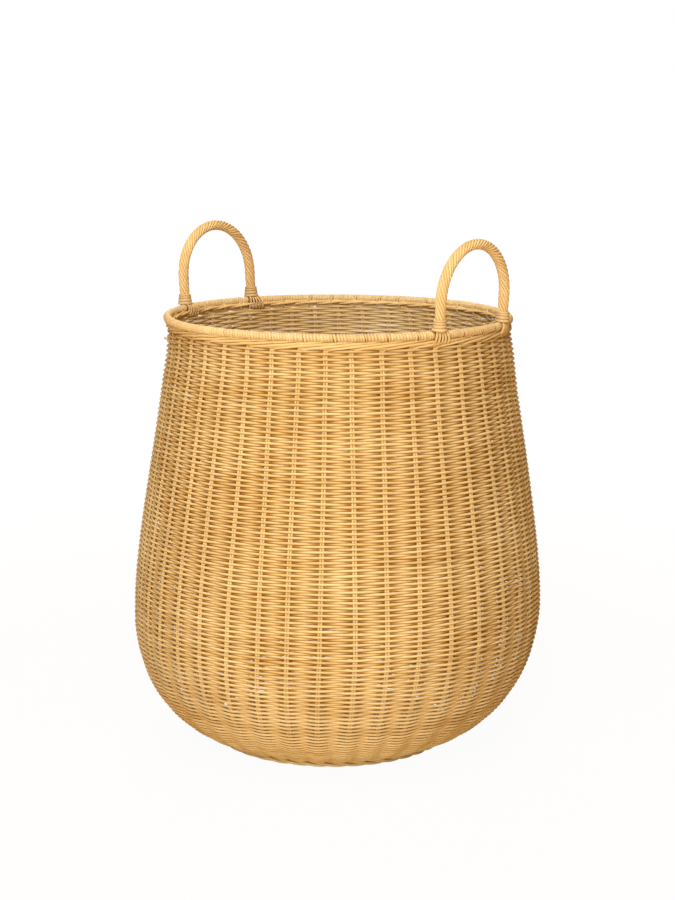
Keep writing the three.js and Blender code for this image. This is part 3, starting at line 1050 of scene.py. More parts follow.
    @staticmethod
    def _wave(place: np.ndarray) -> np.ndarray:
        """A weaver's way past the stakes: 1 outside a pair, -1 inside one, and nearly straight between."""
        return (np.cos(math.pi * place) + np.cos(3 * math.pi * place) / 9) * 0.9

    @staticmethod
    def _eased(knots: np.ndarray, place: np.ndarray) -> np.ndarray:
        """Values between knots one apart, without corners.

        Args:
            knots: The values at 0, 1, 2 and so on, one row each.
            place: The places that values are wanted for.

        Returns:
            The values, one row for each place.
        """
        first = np.clip(place.astype(int), 0, len(knots) - 2)
        share = place - first
        share = (share * share * (3 - 2 * share))[:, None]
        return knots[first] * (1 - share) + knots[first + 1] * share

    def _loose_end(self) -> Rod:
        """The cut end of a rod that stands out of the wall just below the border.

        Returns:
            The rod.
        """
        depths = np.linspace(*self.loose_depths, 6)
        azimuth = self.loose_azimuth + depths * self.loose_slant
        points = self.outline.place(azimuth, self.outline.length - self.loose_drop, depths)
        return Rod(points, self.rod_radius, 0.8)


@dataclass
class Stakes:
    """The upright rods, two side by side at each place.

    Attributes:
        outline: The wall that they stand in.
        finishes: The material of each slot.
        rod_radius: A stake's radius.
        apart: How far each of a pair stands from their middle, in radii.
        root: How far below the outline's start they begin.
        head: How far below the mouth they end.
        points: Points along each rod.
        tone: The middle and the spread of the rods' own tones.
        seed: The seed of the tones.
    """

    outline: Outline
    finishes: Materials
    rod_radius: float = 0.00127
    apart: float = 1.11
    root: float = 0.004
    head: float = 0.004
    points: int = 64
    tone: tuple[float, float] = (0.6, 0.15)
    seed: int = 23

    def build(self) -> None:
        """Stands every pair."""
        random = np.random.default_rng(self.seed)
        distance = np.linspace(-self.root, self.outline.length - self.head, self.points)
        middle = self.outline.thickness / 2
        aside = self.rod_radius * self.apart / self.outline.level(distance, middle)[0]
        for pair in range(self.outline.pairs):
            rods = Rods(f"stake_rods_{pair + 1:02d}")
            azimuth = self.outline.swayed(pair, distance)
            for side in (-1, 1):
                line = self.outline.place(azimuth + side * aside, distance, middle)
                rods.add(Rod(line, self.rod_radius, chance_tone(random, *self.tone)))
            show(rods.sweep(), rods.name, Slot.STAKE, [f"stake_pair_{pair + 1:02d}"], self.finishes)


class Lay(Enum):
    """The two stakes of a pair, by the way that their ends take in the border.

    Each knot is the stake pairs passed, the height over the weave, and the depth in from the wall's skin.
    """

    LOWER = (
        (0.04, -0.0120, 0.0041), (0.05, -0.0045, 0.0041), (0.12, -0.0006, 0.0036),
        (0.32, 0.0012, 0.0022), (0.60, 0.0023, 0.0010), (1.00, 0.0036, 0.0004),
        (1.50, 0.0051, 0.0004), (2.00, 0.0066, 0.0012), (2.50, 0.0081, 0.0026),
        (3.00, 0.0094, 0.0048), (3.30, 0.0099, 0.0060),
    )
    UPPER = (
        (-0.04, -0.0120, 0.0041), (-0.03, -0.0040, 0.0041), (0.04, 0.0010, 0.0040),
        (0.28, 0.0035, 0.0034), (0.60, 0.0049, 0.0026), (1.00, 0.0063, 0.0017),
        (1.40, 0.0076, 0.0014), (1.80, 0.0088, 0.0020), (2.15, 0.0096, 0.0036),
        (2.50, 0.0095, 0.0058), (2.80, 0.0092, 0.0071), (3.15, 0.0085, 0.0077),
        (3.55, 0.0075, 0.0072), (3.95, 0.0064, 0.0056),
    )


@dataclass
class Border:
    """The stake ends, laid down to the right, up under the rim, and down again on the inner face.

    Attributes:
        outline: The wall that they come out of.
        finishes: The material of each slot.
        rod_radius: A laid rod's radius.
        radius_range: The least and the most of that radius, as shares.
        knot_points: Points along a rod for each of its knots.
        stray: How far a rod strays from its way.
        tone: The middle and the spread of the rods' own tones.
        seed: The seed of the rods' chances.
    """

    outline: Outline
    finishes: Materials
    rod_radius: float = 0.00144
    radius_range: tuple[float, float] = (0.96, 1.04)
    knot_points: int = 4
    stray: float = 0.00016
    tone: tuple[float, float] = (0.55, 0.15)
    seed: int = 31

    def build(self) -> None:
        """Lays every stake end down."""
        random = np.random.default_rng(self.seed)
        rods = Rods("border_rods")
        for pair in range(self.outline.pairs):
            for lay in Lay:
                rods.add(self._end(pair, lay, random))
        show(rods.sweep(), rods.name, Slot.BORDER, ["border"], self.finishes)

    def _end(self, pair: int, lay: Lay, random: np.random.Generator) -> Rod:
        """One stake end, from inside the weave to where it is cut off.

        Args:
            pair: The stake pair.
            lay: Which stake of the pair.
            random: The source of chance.

        Returns:
            The laid rod.
        """
        knots = np.array(lay.value)
        knots[2:, 1:] += random.normal(0, self.stray, (len(knots) - 2, 2))
        passed, over, depth = smooth_line(knots, len(knots) * self.knot_points).T
        azimuth = self.outline.swayed(pair, self.outline.length) + passed * self.outline.pitch
        line = round_axis(azimuth, self.outline.mouth_radius - depth, self.outline.mouth_height + over)
        tone = chance_tone(random, *self.tone)
        return Rod(self.outline.shifted(line), self.rod_radius * random.uniform(*self.radius_range), tone)


# The rim


@dataclass
class Winding:
    """The rings of the wound peel, one after the other along the rim.

    Attributes:
        azimuth: Where each ring stands.
        radii: Its radius round the hoop's line.
        turn: The turn of the peel that it belongs to.
        tied: Whether that turn is passed through the border.
        dark: How much painted shade it takes.
    """

    azimuth: np.ndarray
    radii: np.ndarray
    turn: np.ndarray
    tied: np.ndarray
    dark: np.ndarray


@dataclass
class Rim:
    """The cane hoop and the flat peel that is wound round it.

    Attributes:
        outline: The wall under it, whose stakes the binding turns follow.
        finishes: The material of each slot.
        peel_width: The width of one turn.
        width_range: The least and the most of that width, as shares.
        sides: Corners of the wound section.
        crown: How far the middle of a turn stands over its edges.
        crown_stray: How far that strays from turn to turn.
        shoulders: How far the peel is drawn in just after a gap, and just before the next.
        groove: How deep the line between two turns is.
        groove_range: The least and the most of that depth, as shares.
        groove_shadow: The painted shade in the line between two turns.
        dark_range: The least and the most of that, as shares.
        slant: How far a turn leans along the rim, from its top to its front.
        slant_spread: How much that differs from turn to turn, as a share.
        tie_place: Where a turn is passed through the border, as a share of the gap between stake pairs.
        tie_stray: How far that place strays, in radians.
        tie_drop: How much lower such a turn goes.
        tie_cut: How deep the gap beside such a turn is.
        tie_range: The least and the most of that depth, as shares.
        tie_shadow: The painted shade in that gap.
        tone: The middle and the spread of the turns' own tones.
        turn_shift: How far apart in the cane the fibres of two turns lie.
        stitch_radius: The radius of the part of such a turn that shows inside the basket.
        stitch_stray: How far a stitch strays along the rim, in radians.
        stitch_slant: How far it leans along the rim either way, in radians.
        stitch_way: The way of a stitch, as shares of the wound radius outward and up from the hoop's line.
        stitch_points: Points along a stitch.
        stitch_tone: The middle and the spread of the stitches' tones.
        hoop_radius: The radius of the hoop's cane.
        hoop_points: Points round the hoop.
        pull: How far the winding pulls the hoop in.
        tails_shade: The painted shade behind the strand ends of the handles, by the distance aside of a leg.
        seed: The seed of the winding's chances. The stitches take the next one.
        wound: The radius of the wound section, from the solid.
        radius: The radius of the hoop's line, from the solid.
        height: The height of the hoop's line, from the solid.
    """

    outline: Outline
    finishes: Materials
    peel_width: float = 0.0033
    width_range: tuple[float, float] = (0.8, 1.2)
    sides: int = 16
    crown: float = 0.00034
    crown_stray: float = 0.00005
    shoulders: tuple[float, float] = (0.00022, 0.00018)
    groove: float = 0.00055
    groove_range: tuple[float, float] = (0.4, 1.5)
    groove_shadow: float = 0.7
    dark_range: tuple[float, float] = (0.45, 1.2)
    slant: float = 0.0009
    slant_spread: float = 0.18
    tie_place: float = 0.35
    tie_stray: float = 0.012
    tie_drop: float = 0.0014
    tie_cut: float = 0.0024
    tie_range: tuple[float, float] = (0.7, 1.2)
    tie_shadow: float = 1.6
    tone: tuple[float, float] = (0.8, 0.05)
    turn_shift: float = 0.37
    stitch_radius: float = 0.0012
    stitch_stray: float = 0.01
    stitch_slant: float = 0.004
    stitch_way: tuple[tuple[float, float], ...] = (
        (0.0, 0.0), (-0.9, -0.25), (-1.05, -1.0), (-1.1, -1.7), (-0.6, -2.1), (0.0, -1.9),
    )
    stitch_points: int = 16
    stitch_tone: tuple[float, float] = (0.5, 0.1)
    hoop_radius: float = 0.0033
    hoop_points: int = 120
    pull: float = 0.0006
    tails_shade: Zone = Zone(0.0078, 0.0062, 1.4)
    seed: int = 47
    wound: float = field(init=False)
    radius: float = field(init=False)
    height: float = field(init=False)

    def __post_init__(self) -> None:
        """Reads the hoop and the winding, whose solid has six sides and lies on one, from the frame."""
        low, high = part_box("rim_wrap")
        hoop_low, hoop_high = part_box("rim_hoop")
        self.wound = (high.z - low.z) / 2 / math.cos(math.pi / 6)
        self.radius = (hoop_high.x - hoop_low.x) / 2 - (hoop_high.z - hoop_low.z) / 2 - self.pull
        self.height = (hoop_high.z + hoop_low.z) / 2

    def build(self) -> None:
        """Bends the hoop, winds the peel and sets the stitches."""
        self._hoop()
        self._peel()
        self._stitches()

    def _ring(self, azimuth: np.ndarray) -> np.ndarray:
        """Points on the hoop's centre line."""
        return round_axis(azimuth, self.radius, self.height)

    def _hoop(self) -> None:
        """Shows the hoop inside the peel."""
        azimuth = np.arange(self.hoop_points) * FULL_TURN / self.hoop_points
        rods = Rods("hoop_cane", 8, Facing.UPRIGHT)
        rods.add(Rod(self._ring(azimuth), self.hoop_radius, closed=True))
        show(rods.sweep(), rods.name, Slot.CORE, ["rim_hoop"], self.finishes)

    def _ties(self) -> np.ndarray:
        """The azimuths at which a turn would be passed through the border, were they quite even."""
        return self.outline.phase + (np.arange(self.outline.pairs) + self.tie_place) * self.outline.pitch

    def _wind(self, turns: int, random: np.random.Generator) -> Winding:
        """Winds the peel, turn by turn, with a slit where a turn is passed through the border.

        Args:
            turns: How many turns there are.
            random: The source of chance.

        Returns:
            The rings of the winding.
        """
        widths = random.uniform(*self.width_range, turns)
        edges = np.r_[0.0, np.cumsum(widths)] / widths.sum() * FULL_TURN
        ties = np.mod(self._ties() + random.normal(0, self.tie_stray, self.outline.pairs), FULL_TURN)
        tied_turns = set(np.searchsorted(edges, ties) - 1)
        after, before = self.shoulders
        rings = []
        for turn in range(turns):
            tied = turn in tied_turns
            base = self.wound - self.crown + random.normal(0, self.crown_stray)
            cut = self.groove * random.uniform(*self.groove_range)
            if tied or turn - 1 in tied_turns:
                cut = self.tie_cut * random.uniform(*self.tie_range)
            # Painted shade for the line between this turn and the last, strongest beside a tied turn.
            dark = self.groove_shadow * random.uniform(*self.dark_range)
            if tied:
                dark = self.tie_shadow
            # Rows: the share of the turn, how far it stands over its base, and how much of its painted shade
            # falls there.
            section = (
                (0.0, -cut, 1.0), (0.15, -after, 0.9 if tied else 0.35), (0.34, self.crown, 0.0),
                (0.60, self.crown, 0.0), (0.83, -before, 0.2),
            )
            for share, over, shadow in section:
                azimuth = edges[turn] + share * (edges[turn + 1] - edges[turn])
                rings.append((azimuth, base + over, turn, tied, dark * shadow))
        azimuth, radii, turn_of, tied, dark = np.array(rings).T
        return Winding(azimuth, radii, turn_of.astype(int), tied.astype(bool), dark)

    def _peel(self) -> None:
        """Sweeps the winding, leans and drops its turns, and shows it."""
        random = np.random.default_rng(self.seed)
        turns = int(FULL_TURN * self.radius / self.peel_width)
        winding = self._wind(turns, random)
        rods = Rods("rim_peel", self.sides, Facing.UPRIGHT)
        rods.add(Rod(self._ring(winding.azimuth), winding.radii, closed=True))
        mesh = rods.sweep()
        arm = vertices_of(mesh).reshape(-1, self.sides, 3) - self._ring(winding.azimuth)[:, None, :]
        out, up = (arm * round_axis(winding.azimuth, 1.0, 0.0)[:, None, :]).sum(-1), arm[..., 2]
        lean = self.slant * random.normal(1.0, self.slant_spread, turns)[winding.turn][:, None]
        angle = winding.azimuth[:, None] - lean * up / self.wound / self.radius
        drop = self.tie_drop * winding.tied[:, None] * np.clip(-up / self.wound, 0, 1) ** 2
        places = round_axis(angle, self.radius + out, self.height + up - drop)
        mesh.vertices.foreach_set("co", places.ravel())
        apart, around = winding.turn[:, None] * self.turn_shift, np.arctan2(up, out) * self.wound
        lay = np.stack(np.broadcast_arrays(angle * self.radius, apart, around), -1)
        # The painted shade in the gaps beside tied turns is darkest underneath, and beside the others on the
        # outer face.
        darkest = np.where(
            winding.tied[:, None], np.clip(0.6 - 0.8 * up / self.wound, 0, 1),
            0.55 + 0.45 * np.clip(out / self.wound, -1, 1),
        )
        tones = (random.normal(*self.tone, turns)[winding.turn] - self._under_tails(winding.azimuth))[:, None]
        set_marks(mesh, lay.reshape(-1, 3), (tones - winding.dark[:, None] * darkest).ravel())
        show(mesh, "rim_peel", Slot.PEEL, ["rim_wrap"], self.finishes)

    def _under_tails(self, azimuth: np.ndarray) -> np.ndarray:
        """How much painted shade the peel takes behind the strand ends of the handles.

        Args:
            azimuth: The azimuths to tell it for.

        Returns:
            What is taken off the tone at each.
        """
        dark = np.zeros(len(azimuth))
        for hand in Hand:
            for end in End:
                low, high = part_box(end.node("leg_binding", hand))
                leg = math.atan2(low.y + high.y, low.x + high.x)
                beside = np.abs(np.mod(azimuth - leg + math.pi, FULL_TURN) - math.pi) * self.radius
                dark += self.tails_shade.at(beside)
        return dark

    def _stitches(self) -> None:
        """Shows the short stitches that hold the border's ends to the hoop, inside the basket."""
        random = np.random.default_rng(self.seed + 1)
        rods = Rods("rim_stitches")
        out, up = smooth_line(np.array(self.stitch_way) * self.wound, self.stitch_points).T
        slant = np.linspace(self.stitch_slant, -self.stitch_slant, self.stitch_points)
        for tie in self._ties():
            azimuth = tie + random.normal(0, self.stitch_stray) + slant
            line = round_axis(azimuth, self.radius + out, self.height + up)
            rods.add(Rod(line, self.stitch_radius, chance_tone(random, *self.stitch_tone)))
        show(rods.sweep(), rods.name, Slot.PEEL, ["rim_wrap"], self.finishes)


# The handles


@dataclass(frozen=True)
class Collar:
    """The bound part of a leg: two thin turns of peel, then wider ones that flare.

    Attributes:
        height: How high it is.
        below: How far it starts under the leg's foot.
        bands: Its turns from the bottom up: the shares of the height where each starts and ends, and
            the radius at its start and at its end.
        section: The outline of a turn: the share of its height, how far it is drawn in there, and
        how much painted shade darkens its tone there, most at its edges.
        sides: Corners of its section.
        waver: How far the edge of a turn wavers up and down, and how far the whole collar is off.
        tone: The middle and the spread of the turns' own tones.
    """

    height: float = 0.0126
    below: float = 0.0030
    bands: tuple[tuple[float, float, float, float], ...] = (
        (0.0, 0.27, 0.0090, 0.0085), (0.27, 0.58, 0.0083, 0.0080),
        (0.58, 0.79, 0.0078, 0.0077), (0.79, 1.0, 0.0075, 0.0073),
    )
    section: tuple[tuple[float, float, float], ...] = (
        (0.03, 0.0008, -0.6), (0.12, 0.0003, -0.1), (0.30, 0.0001, 0.0), (0.50, 0.0, 0.0),
        (0.70, 0.0001, 0.0), (0.88, 0.0003, -0.1), (0.97, 0.0008, -0.6),
    )
    sides: int = 20
    waver: float = 0.0003
    tone: tuple[float, float] = (0.7, 0.05)


@dataclass(frozen=True)
class Fall:
    """How the strand ends of a leg fall over one side of the rim.

    Attributes:
        side: 1 for the outer side, -1 for the inner one.
        spread: How far the outermost of them stand from the middle under the binding.
        deeper: How much lower they go than on the outer side.
        slack: How far the loosest of them stands off the rim.
        thickness: Their thickness, as a share.
    """

    side: int
    spread: float
    deeper: float
    slack: float
    thickness: float


class Falls(Enum):
    """The two sides of the rim that strand ends fall over."""

    INNER = Fall(-1, spread=0.0058, deeper=0.0014, slack=0.0046, thickness=0.70)
    OUTER = Fall(1, spread=0.0054, deeper=0.0, slack=0.0, thickness=0.86)


@dataclass
class Handle:
    """An arched cane with strands laid round it, bound and lashed to the rim at both legs.

    It is built over the right handle's solid, and turned to its own place.

    Attributes:
        hand: Which handle it is.
        rim: The rim that it straddles.
        finishes: The material of each slot.
        collar: The bound part of each leg.
        rope_width: How thick the roped handle is.
        lean: How far it leans outward.
        core_points: Points along the core.
        core_overlap: How far the core reaches into the strands.
        strands: How many strands are laid round the core.
        strand_radius: A strand's radius.
        strand_sides: Corners of a strand's section.
        strand_points: Points along a strand.
        strand_tone: The middle and the spread of the strands' own tones.
        strand_range: The least and the most of a strand's thickness, as shares.
        strand_stray: How far a strand lies over or under the others.
        wander: How far it wanders round the core, in radians.
        wander_rate: How fast it does, in radians for each metre.
        fullness: How much of its room a strand fills.
        leg_lay: How far along a leg a strand goes in one turn.
        arch_lay: The same at the top of the arch, where the strands lie closer.
        taper: How much narrower the rope is at its ends, as a share.
        taper_length: The length over which it narrows.
        groove_shade: The painted shade between strands, by the depth from the rope's skin.
        tails: How many strand ends show on each side of the rim, at each leg.
        tail_radius: The radius of a strand end below the binding.
        tail_points: Points along a strand end.
        tail_range: The least and the most of its thickness, as shares.
        tail_stray: How far it strays aside.
        tail_spread: The least and the most that the outermost of them stand aside in the border.
        tail_tone: The middle and the spread of their tones.
        tail_side_shade: The painted shade where they face each other.
        seed: The seed of the right handle's chances. The left one takes the next.
        random: The source of chance.
        rope_radius: Half the rope's width.
        plane: How far out the legs' feet stand, from the solid.
        foot: The height of the legs' feet, from the solid.
        arch_radius: The radius of the arch's line, from the solid.
        leg: The length of a leg up to the arch.
    """

    hand: Hand
    rim: Rim
    finishes: Materials
    collar: Collar = Collar()
    rope_width: float = 0.0122
    lean: float = math.radians(3.0)
    core_points: int = 48
    core_overlap: float = 0.0002
    strands: int = 8
    strand_radius: float = 0.0016
    strand_sides: int = 26
    strand_points: int = 330
    strand_tone: tuple[float, float] = (0.75, 0.1)
    strand_range: tuple[float, float] = (0.98, 1.02)
    strand_stray: float = 0.00003
    wander: float = 0.015
    wander_rate: float = 60.0
    fullness: float = 1.03
    leg_lay: float = 0.056
    arch_lay: float = 0.042
    taper: float = 0.12
    taper_length: float = 0.03
    groove_shade: Zone = Zone(0.0003, 0.0015, -0.42)
    tails: int = 5
    tail_radius: float = 0.0016
    tail_points: int = 26
    tail_range: tuple[float, float] = (0.94, 1.08)
    tail_stray: float = 0.0002
    tail_spread: tuple[float, float] = (0.0080, 0.0092)
    tail_tone: tuple[float, float] = (0.85, 0.12)
    tail_side_shade: float = 1.6
    seed: int = 61
    random: np.random.Generator = field(init=False)
    rope_radius: float = field(init=False)
    plane: float = field(init=False)
    foot: float = field(init=False)
    arch_radius: float = field(init=False)
    leg: float = field(init=False)

    def __post_init__(self) -> None:
        """Reads the right handle from the frame."""
        low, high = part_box("handle_rope_right")
        self.random = np.random.default_rng(self.seed + int(self.hand is Hand.LEFT))
        self.rope_radius = self.rope_width / 2
        self.plane = low.x + self.rope_radius * math.cos(self.lean)
        self.foot = low.z + self.rope_radius * math.sin(self.lean)
        self.arch_radius = (high.y - low.y) / 2 - self.rope_radius
        self.leg = (high.z - self.foot) / math.cos(self.lean) - self.rope_radius - self.arch_radius

    def build(self) -> None:
        """Bends, ropes, binds and lashes the handle."""
        self._core()
        self._rope()
        for end in End:
            self._binding(end)
            self._lashing(end)

    @property
    def bend(self) -> Bend:
        """What sets this handle apart."""
        return self.hand.value

    @property
    def _length(self) -> float:
        """The length of the centre line from foot to foot."""
        return 2 * self.leg + math.pi * self.arch_radius

    def _turn(self, along: np.ndarray) -> np.ndarray:
        """The angle round the arch, from 0 on the front leg to half a turn on the back one."""
        return ramp(along, self.leg, self.leg + math.pi * self.arch_radius) * math.pi

    def _line(self, along: np.ndarray) -> tuple[np.ndarray, np.ndarray]:
        """The handle's centre line.

        Args:
            along: Distances along it from the front leg's foot.

        Returns:
            The points, and the direction out of the arch at each.
        """
        turn = self._turn(along)
        below = np.maximum(0, self.leg - along) + np.maximum(0, along - self.leg - math.pi * self.arch_radius)
        up = np.array([math.sin(self.lean), 0, math.cos(self.lean)])
        outward = np.outer(-np.cos(turn), (0, 1, 0)) + np.outer(np.sin(turn), up)
        centre = outward * self.arch_radius + np.array([self.plane, 0, self.foot])
        centre += np.outer(self.leg - below, up)
        over = centre[:, 2] - self.foot
        centre[:, 0] += self.bend.splay * over
        centre[:, 2] += (self.bend.stretch - 1) * over
        return centre, outward

    def _core(self) -> None:
        """Shows the bent cane inside the strands."""
        rods = Rods(f"core_cane_{self.bend.word}")
        centre, _ = self._line(np.linspace(-0.002, self._length + 0.002, self.core_points))
        rods.add(Rod(centre, self.rope_radius - 2 * self.strand_radius + self.core_overlap))
        node = f"handle_core_{self.bend.word}"
        show(rods.sweep(), rods.name, Slot.CORE, [node], self.finishes, self.bend.turn)

    def _rope(self) -> None:
        """Lays the strands round the core, and shows them."""
        rods = Rods(f"rope_strands_{self.bend.word}", self.strand_sides)
        along = np.linspace(-0.001, self._length + 0.001, self.strand_points)
        centre, outward = self._line(along)
        aside = np.array([math.cos(self.lean), 0, -math.sin(self.lean)])
        closer = 1 / self.arch_lay - 1 / self.leg_lay
        rate = 1 / self.leg_lay + closer * np.sin(self._turn(along)) ** 1.3
        turns = np.cumsum(rate) * (along[1] - along[0])
        near_end = ramp(np.minimum(along, self._length - along), self.taper_length, 0)
        ring = (self.rope_radius - self.strand_radius) * (1 - self.taper * near_end ** 2)
        steepness = np.cos(np.arctan(FULL_TURN * ring * rate))
        room = self.fullness * math.pi * ring / self.strands * steepness
        for strand in range(self.strands):
            wander = self.wander * np.sin(along * self.wander_rate + self.random.uniform(0, 6))
            angle = (FULL_TURN * (strand / self.strands - turns) + wander)[:, None]
            reach = (ring + self.random.normal(0, self.strand_stray))[:, None]
            line = centre + reach * (np.cos(angle) * outward + np.sin(angle) * aside)
            tone = chance_tone(self.random, *self.strand_tone)
            rods.add(Rod(line, room * self.random.uniform(*self.strand_range), tone))
        mesh = rods.sweep()
        places = vertices_of(mesh).reshape(self.strands, len(along), rods.sides, 3)
        depth = self.rope_radius - np.linalg.norm(places - centre[None, :, None, :], axis=-1)
        # Painted shade in the grooves between the strands.
        shade(mesh, self.groove_shade.at(depth).ravel())
        show(mesh, rods.name, Slot.ROPE, [f"handle_rope_{self.bend.word}"], self.finishes, self.bend.turn)

    def _binding(self, end: End) -> None:
        """Winds the collar of peel turns at the foot of a leg, and shows it.

        Args:
            end: The leg.
        """
        collar = self.collar
        rings = []
        for first, last, wide, narrow in collar.bands:
            tone = self.random.normal(*collar.tone)
            # The section's last column is painted shade, darkest at each turn's edges.
            for share, inset, change in collar.section:
                height = collar.height * (first + (last - first) * share) + self.foot - collar.below
                rings.append((height, wide + (narrow - wide) * share - inset, tone + change))
        heights, radii, tones = np.array(rings).T
        leant = self.plane + (heights - self.foot) * math.tan(self.lean)
        centre = np.stack(np.broadcast_arrays(leant, end.value * self.arch_radius, heights), -1)
        node = end.node("leg_binding", self.hand)
        rods = Rods(node.replace("leg_binding", "binding_peel"), collar.sides)
        rods.add(Rod(centre, radii))
        mesh = rods.sweep()
        places = vertices_of(mesh).reshape(len(heights), collar.sides, 3)
        arm = places - centre[:, None, :]
        angle = np.arctan2(arm[..., 1], arm[..., 0])
        off = self.random.normal(0, collar.waver)
        places[..., 2] += collar.waver * np.cos(angle + self.random.uniform(0, 6)) + off
        mesh.vertices.foreach_set("co", places.ravel())
        lay = np.stack(np.broadcast_arrays(places[..., 2], radii[:, None], angle * 0.008), -1)
        set_marks(mesh, lay.reshape(-1, 3), np.repeat(tones, collar.sides))
        show(mesh, rods.name, Slot.PEEL, [node], self.finishes, self.bend.turn)

    def _lashing(self, end: End) -> None:
        """Parts the strand ends of a leg over the rim and into the border, and shows them.

        Args:
            end: The leg.
        """
        node = end.node("leg_lashing", self.hand)
        rods = Rods(node.replace("leg_lashing", "tail_strands"))
        leg_azimuth = math.atan2(end.value * self.arch_radius, self.plane)
        for fall in (falls.value for falls in Falls):
            for share in np.linspace(-1, 1, self.tails):
                away, aside, height = self._tail(fall, share).T
                line = round_axis(leg_azimuth + aside / self.rim.radius, away, height)
                tone = chance_tone(self.random, *self.tail_tone)
                thick = self.tail_radius * fall.thickness * self.random.uniform(*self.tail_range)
                rods.add(Rod(line, thick, tone))
        mesh = rods.sweep()
        sideways = round_axis(leg_azimuth + math.pi / 2, 1.0, 0.0)
        # Painted shade where the strand ends face each other.
        shade(mesh, -self.tail_side_shade * np.clip(np.abs(rods.arms(mesh) @ sideways) - 0.55, 0, 1))
        show(mesh, rods.name, Slot.ROPE, [node], self.finishes, self.bend.turn)

    def _tail(self, fall: Fall, share: float) -> np.ndarray:
        """The way of one strand end, from under the binding down into the border.

        Args:
            fall: The side of the rim that it goes down.
            share: Where it stands among the others, from -1 to 1.

        Returns:
            Points, each its distance from the basket's axis, how far aside of the leg it is, and its height.
        """
        rim, side = self.rim, fall.side
        near = share * fall.spread + self.bend.fan * 0.4 + self.random.normal(0, self.tail_stray)
        far = share * self.random.uniform(*self.tail_spread) + self.bend.fan
        slack = fall.slack * (1 - share) / 2
        clear = rim.wound + self.tail_radius * 0.75
        edge = rim.radius + side * (clear + fall.deeper * 0.2)
        leg = math.hypot(self.plane, self.arch_radius)
        top = math.sqrt(max(0.0, 1 - share * share * 0.6))
        knots = (
            (leg + side * 0.0030 * top, near * 0.8, self.foot + 0.004),
            (leg + side * 0.0046 * top + 0.0004, near, self.foot - 0.0010),
            (rim.radius + side * (clear * 0.80 + slack * 0.6), near * 1.1, rim.height + clear * 0.60),
            (edge + side * (0.0001 + slack), (near + far) / 2, rim.height - 0.0002),
            (edge - side * (0.0008 - slack), far * 0.95, rim.height - 0.0046 - fall.deeper * 0.5),
            (edge - side * (0.0022 - slack * 0.7), far, rim.height - 0.0074 - fall.deeper),
            (edge - side * 0.0052, far * 1.02, rim.height - 0.0090 - fall.deeper),
        )
        return smooth_line(knots, self.tail_points)


# The foot and the base


@dataclass
class Foot:
    """The thick twined ring at the bottom edge.

    Attributes:
        outline: The wall that stands on it.
        finishes: The material of each slot.
        strands: How many rods are twined.
        turns: How many turns they make on the way round.
        bundle: The radius of the twined bundle.
        stand_out: How far the twine stands out past its solid.
        lift: How far it stands over the bottom of its solid.
        rod_radius: A rod's radius.
        points: Points round the ring.
        tone: The middle and the spread of the rods' tones; the spread is their own, and the middle is set
            paler than the wall's as painted light.
        core_shade: The tone of the core that closes the gaps between them, a painted shade that is dark where
            the gaps lie in shade.
        core_overlap: How far that core reaches into them.
        seed: The seed of the tones.
    """

    outline: Outline
    finishes: Materials
    strands: int = 4
    turns: int = 10
    bundle: float = 0.0046
    stand_out: float = 0.0030
    lift: float = 0.0007
    rod_radius: float = 0.0016
    points: int = 360
    tone: tuple[float, float] = (1.25, 0.12)
    core_shade: float = -1.6
    core_overlap: float = 0.0006
    seed: int = 71

    def build(self) -> None:
        """Twines the ring."""
        random = np.random.default_rng(self.seed)
        low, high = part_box("foot_wale")
        radius = (high.x - low.x) / 2 - self.bundle + self.stand_out
        height = low.z + self.lift + self.bundle
        rods = Rods("foot_twine", 8, Facing.UPRIGHT)
        azimuth = np.arange(self.points) * FULL_TURN / self.points
        arm = self.bundle - self.rod_radius
        for strand in range(self.strands):
            angle = FULL_TURN * strand / self.strands - self.turns * azimuth
            line = round_axis(azimuth, radius + arm * np.cos(angle), height + arm * np.sin(angle))
            # The twine's tones are set paler than the wall's: painted light on the ring.
            rods.add(Rod(self.outline.stood(line), self.rod_radius, random.normal(*self.tone), closed=True))
        # A dark core between the twined rods is painted shade.
        core = self.bundle - 2 * self.rod_radius + self.core_overlap
        middle = self.outline.stood(round_axis(azimuth, radius, height))
        rods.add(Rod(middle, core, self.core_shade, closed=True))
        show(rods.sweep(), rods.name, Slot.WEAVE, ["foot_wale"], self.finishes)


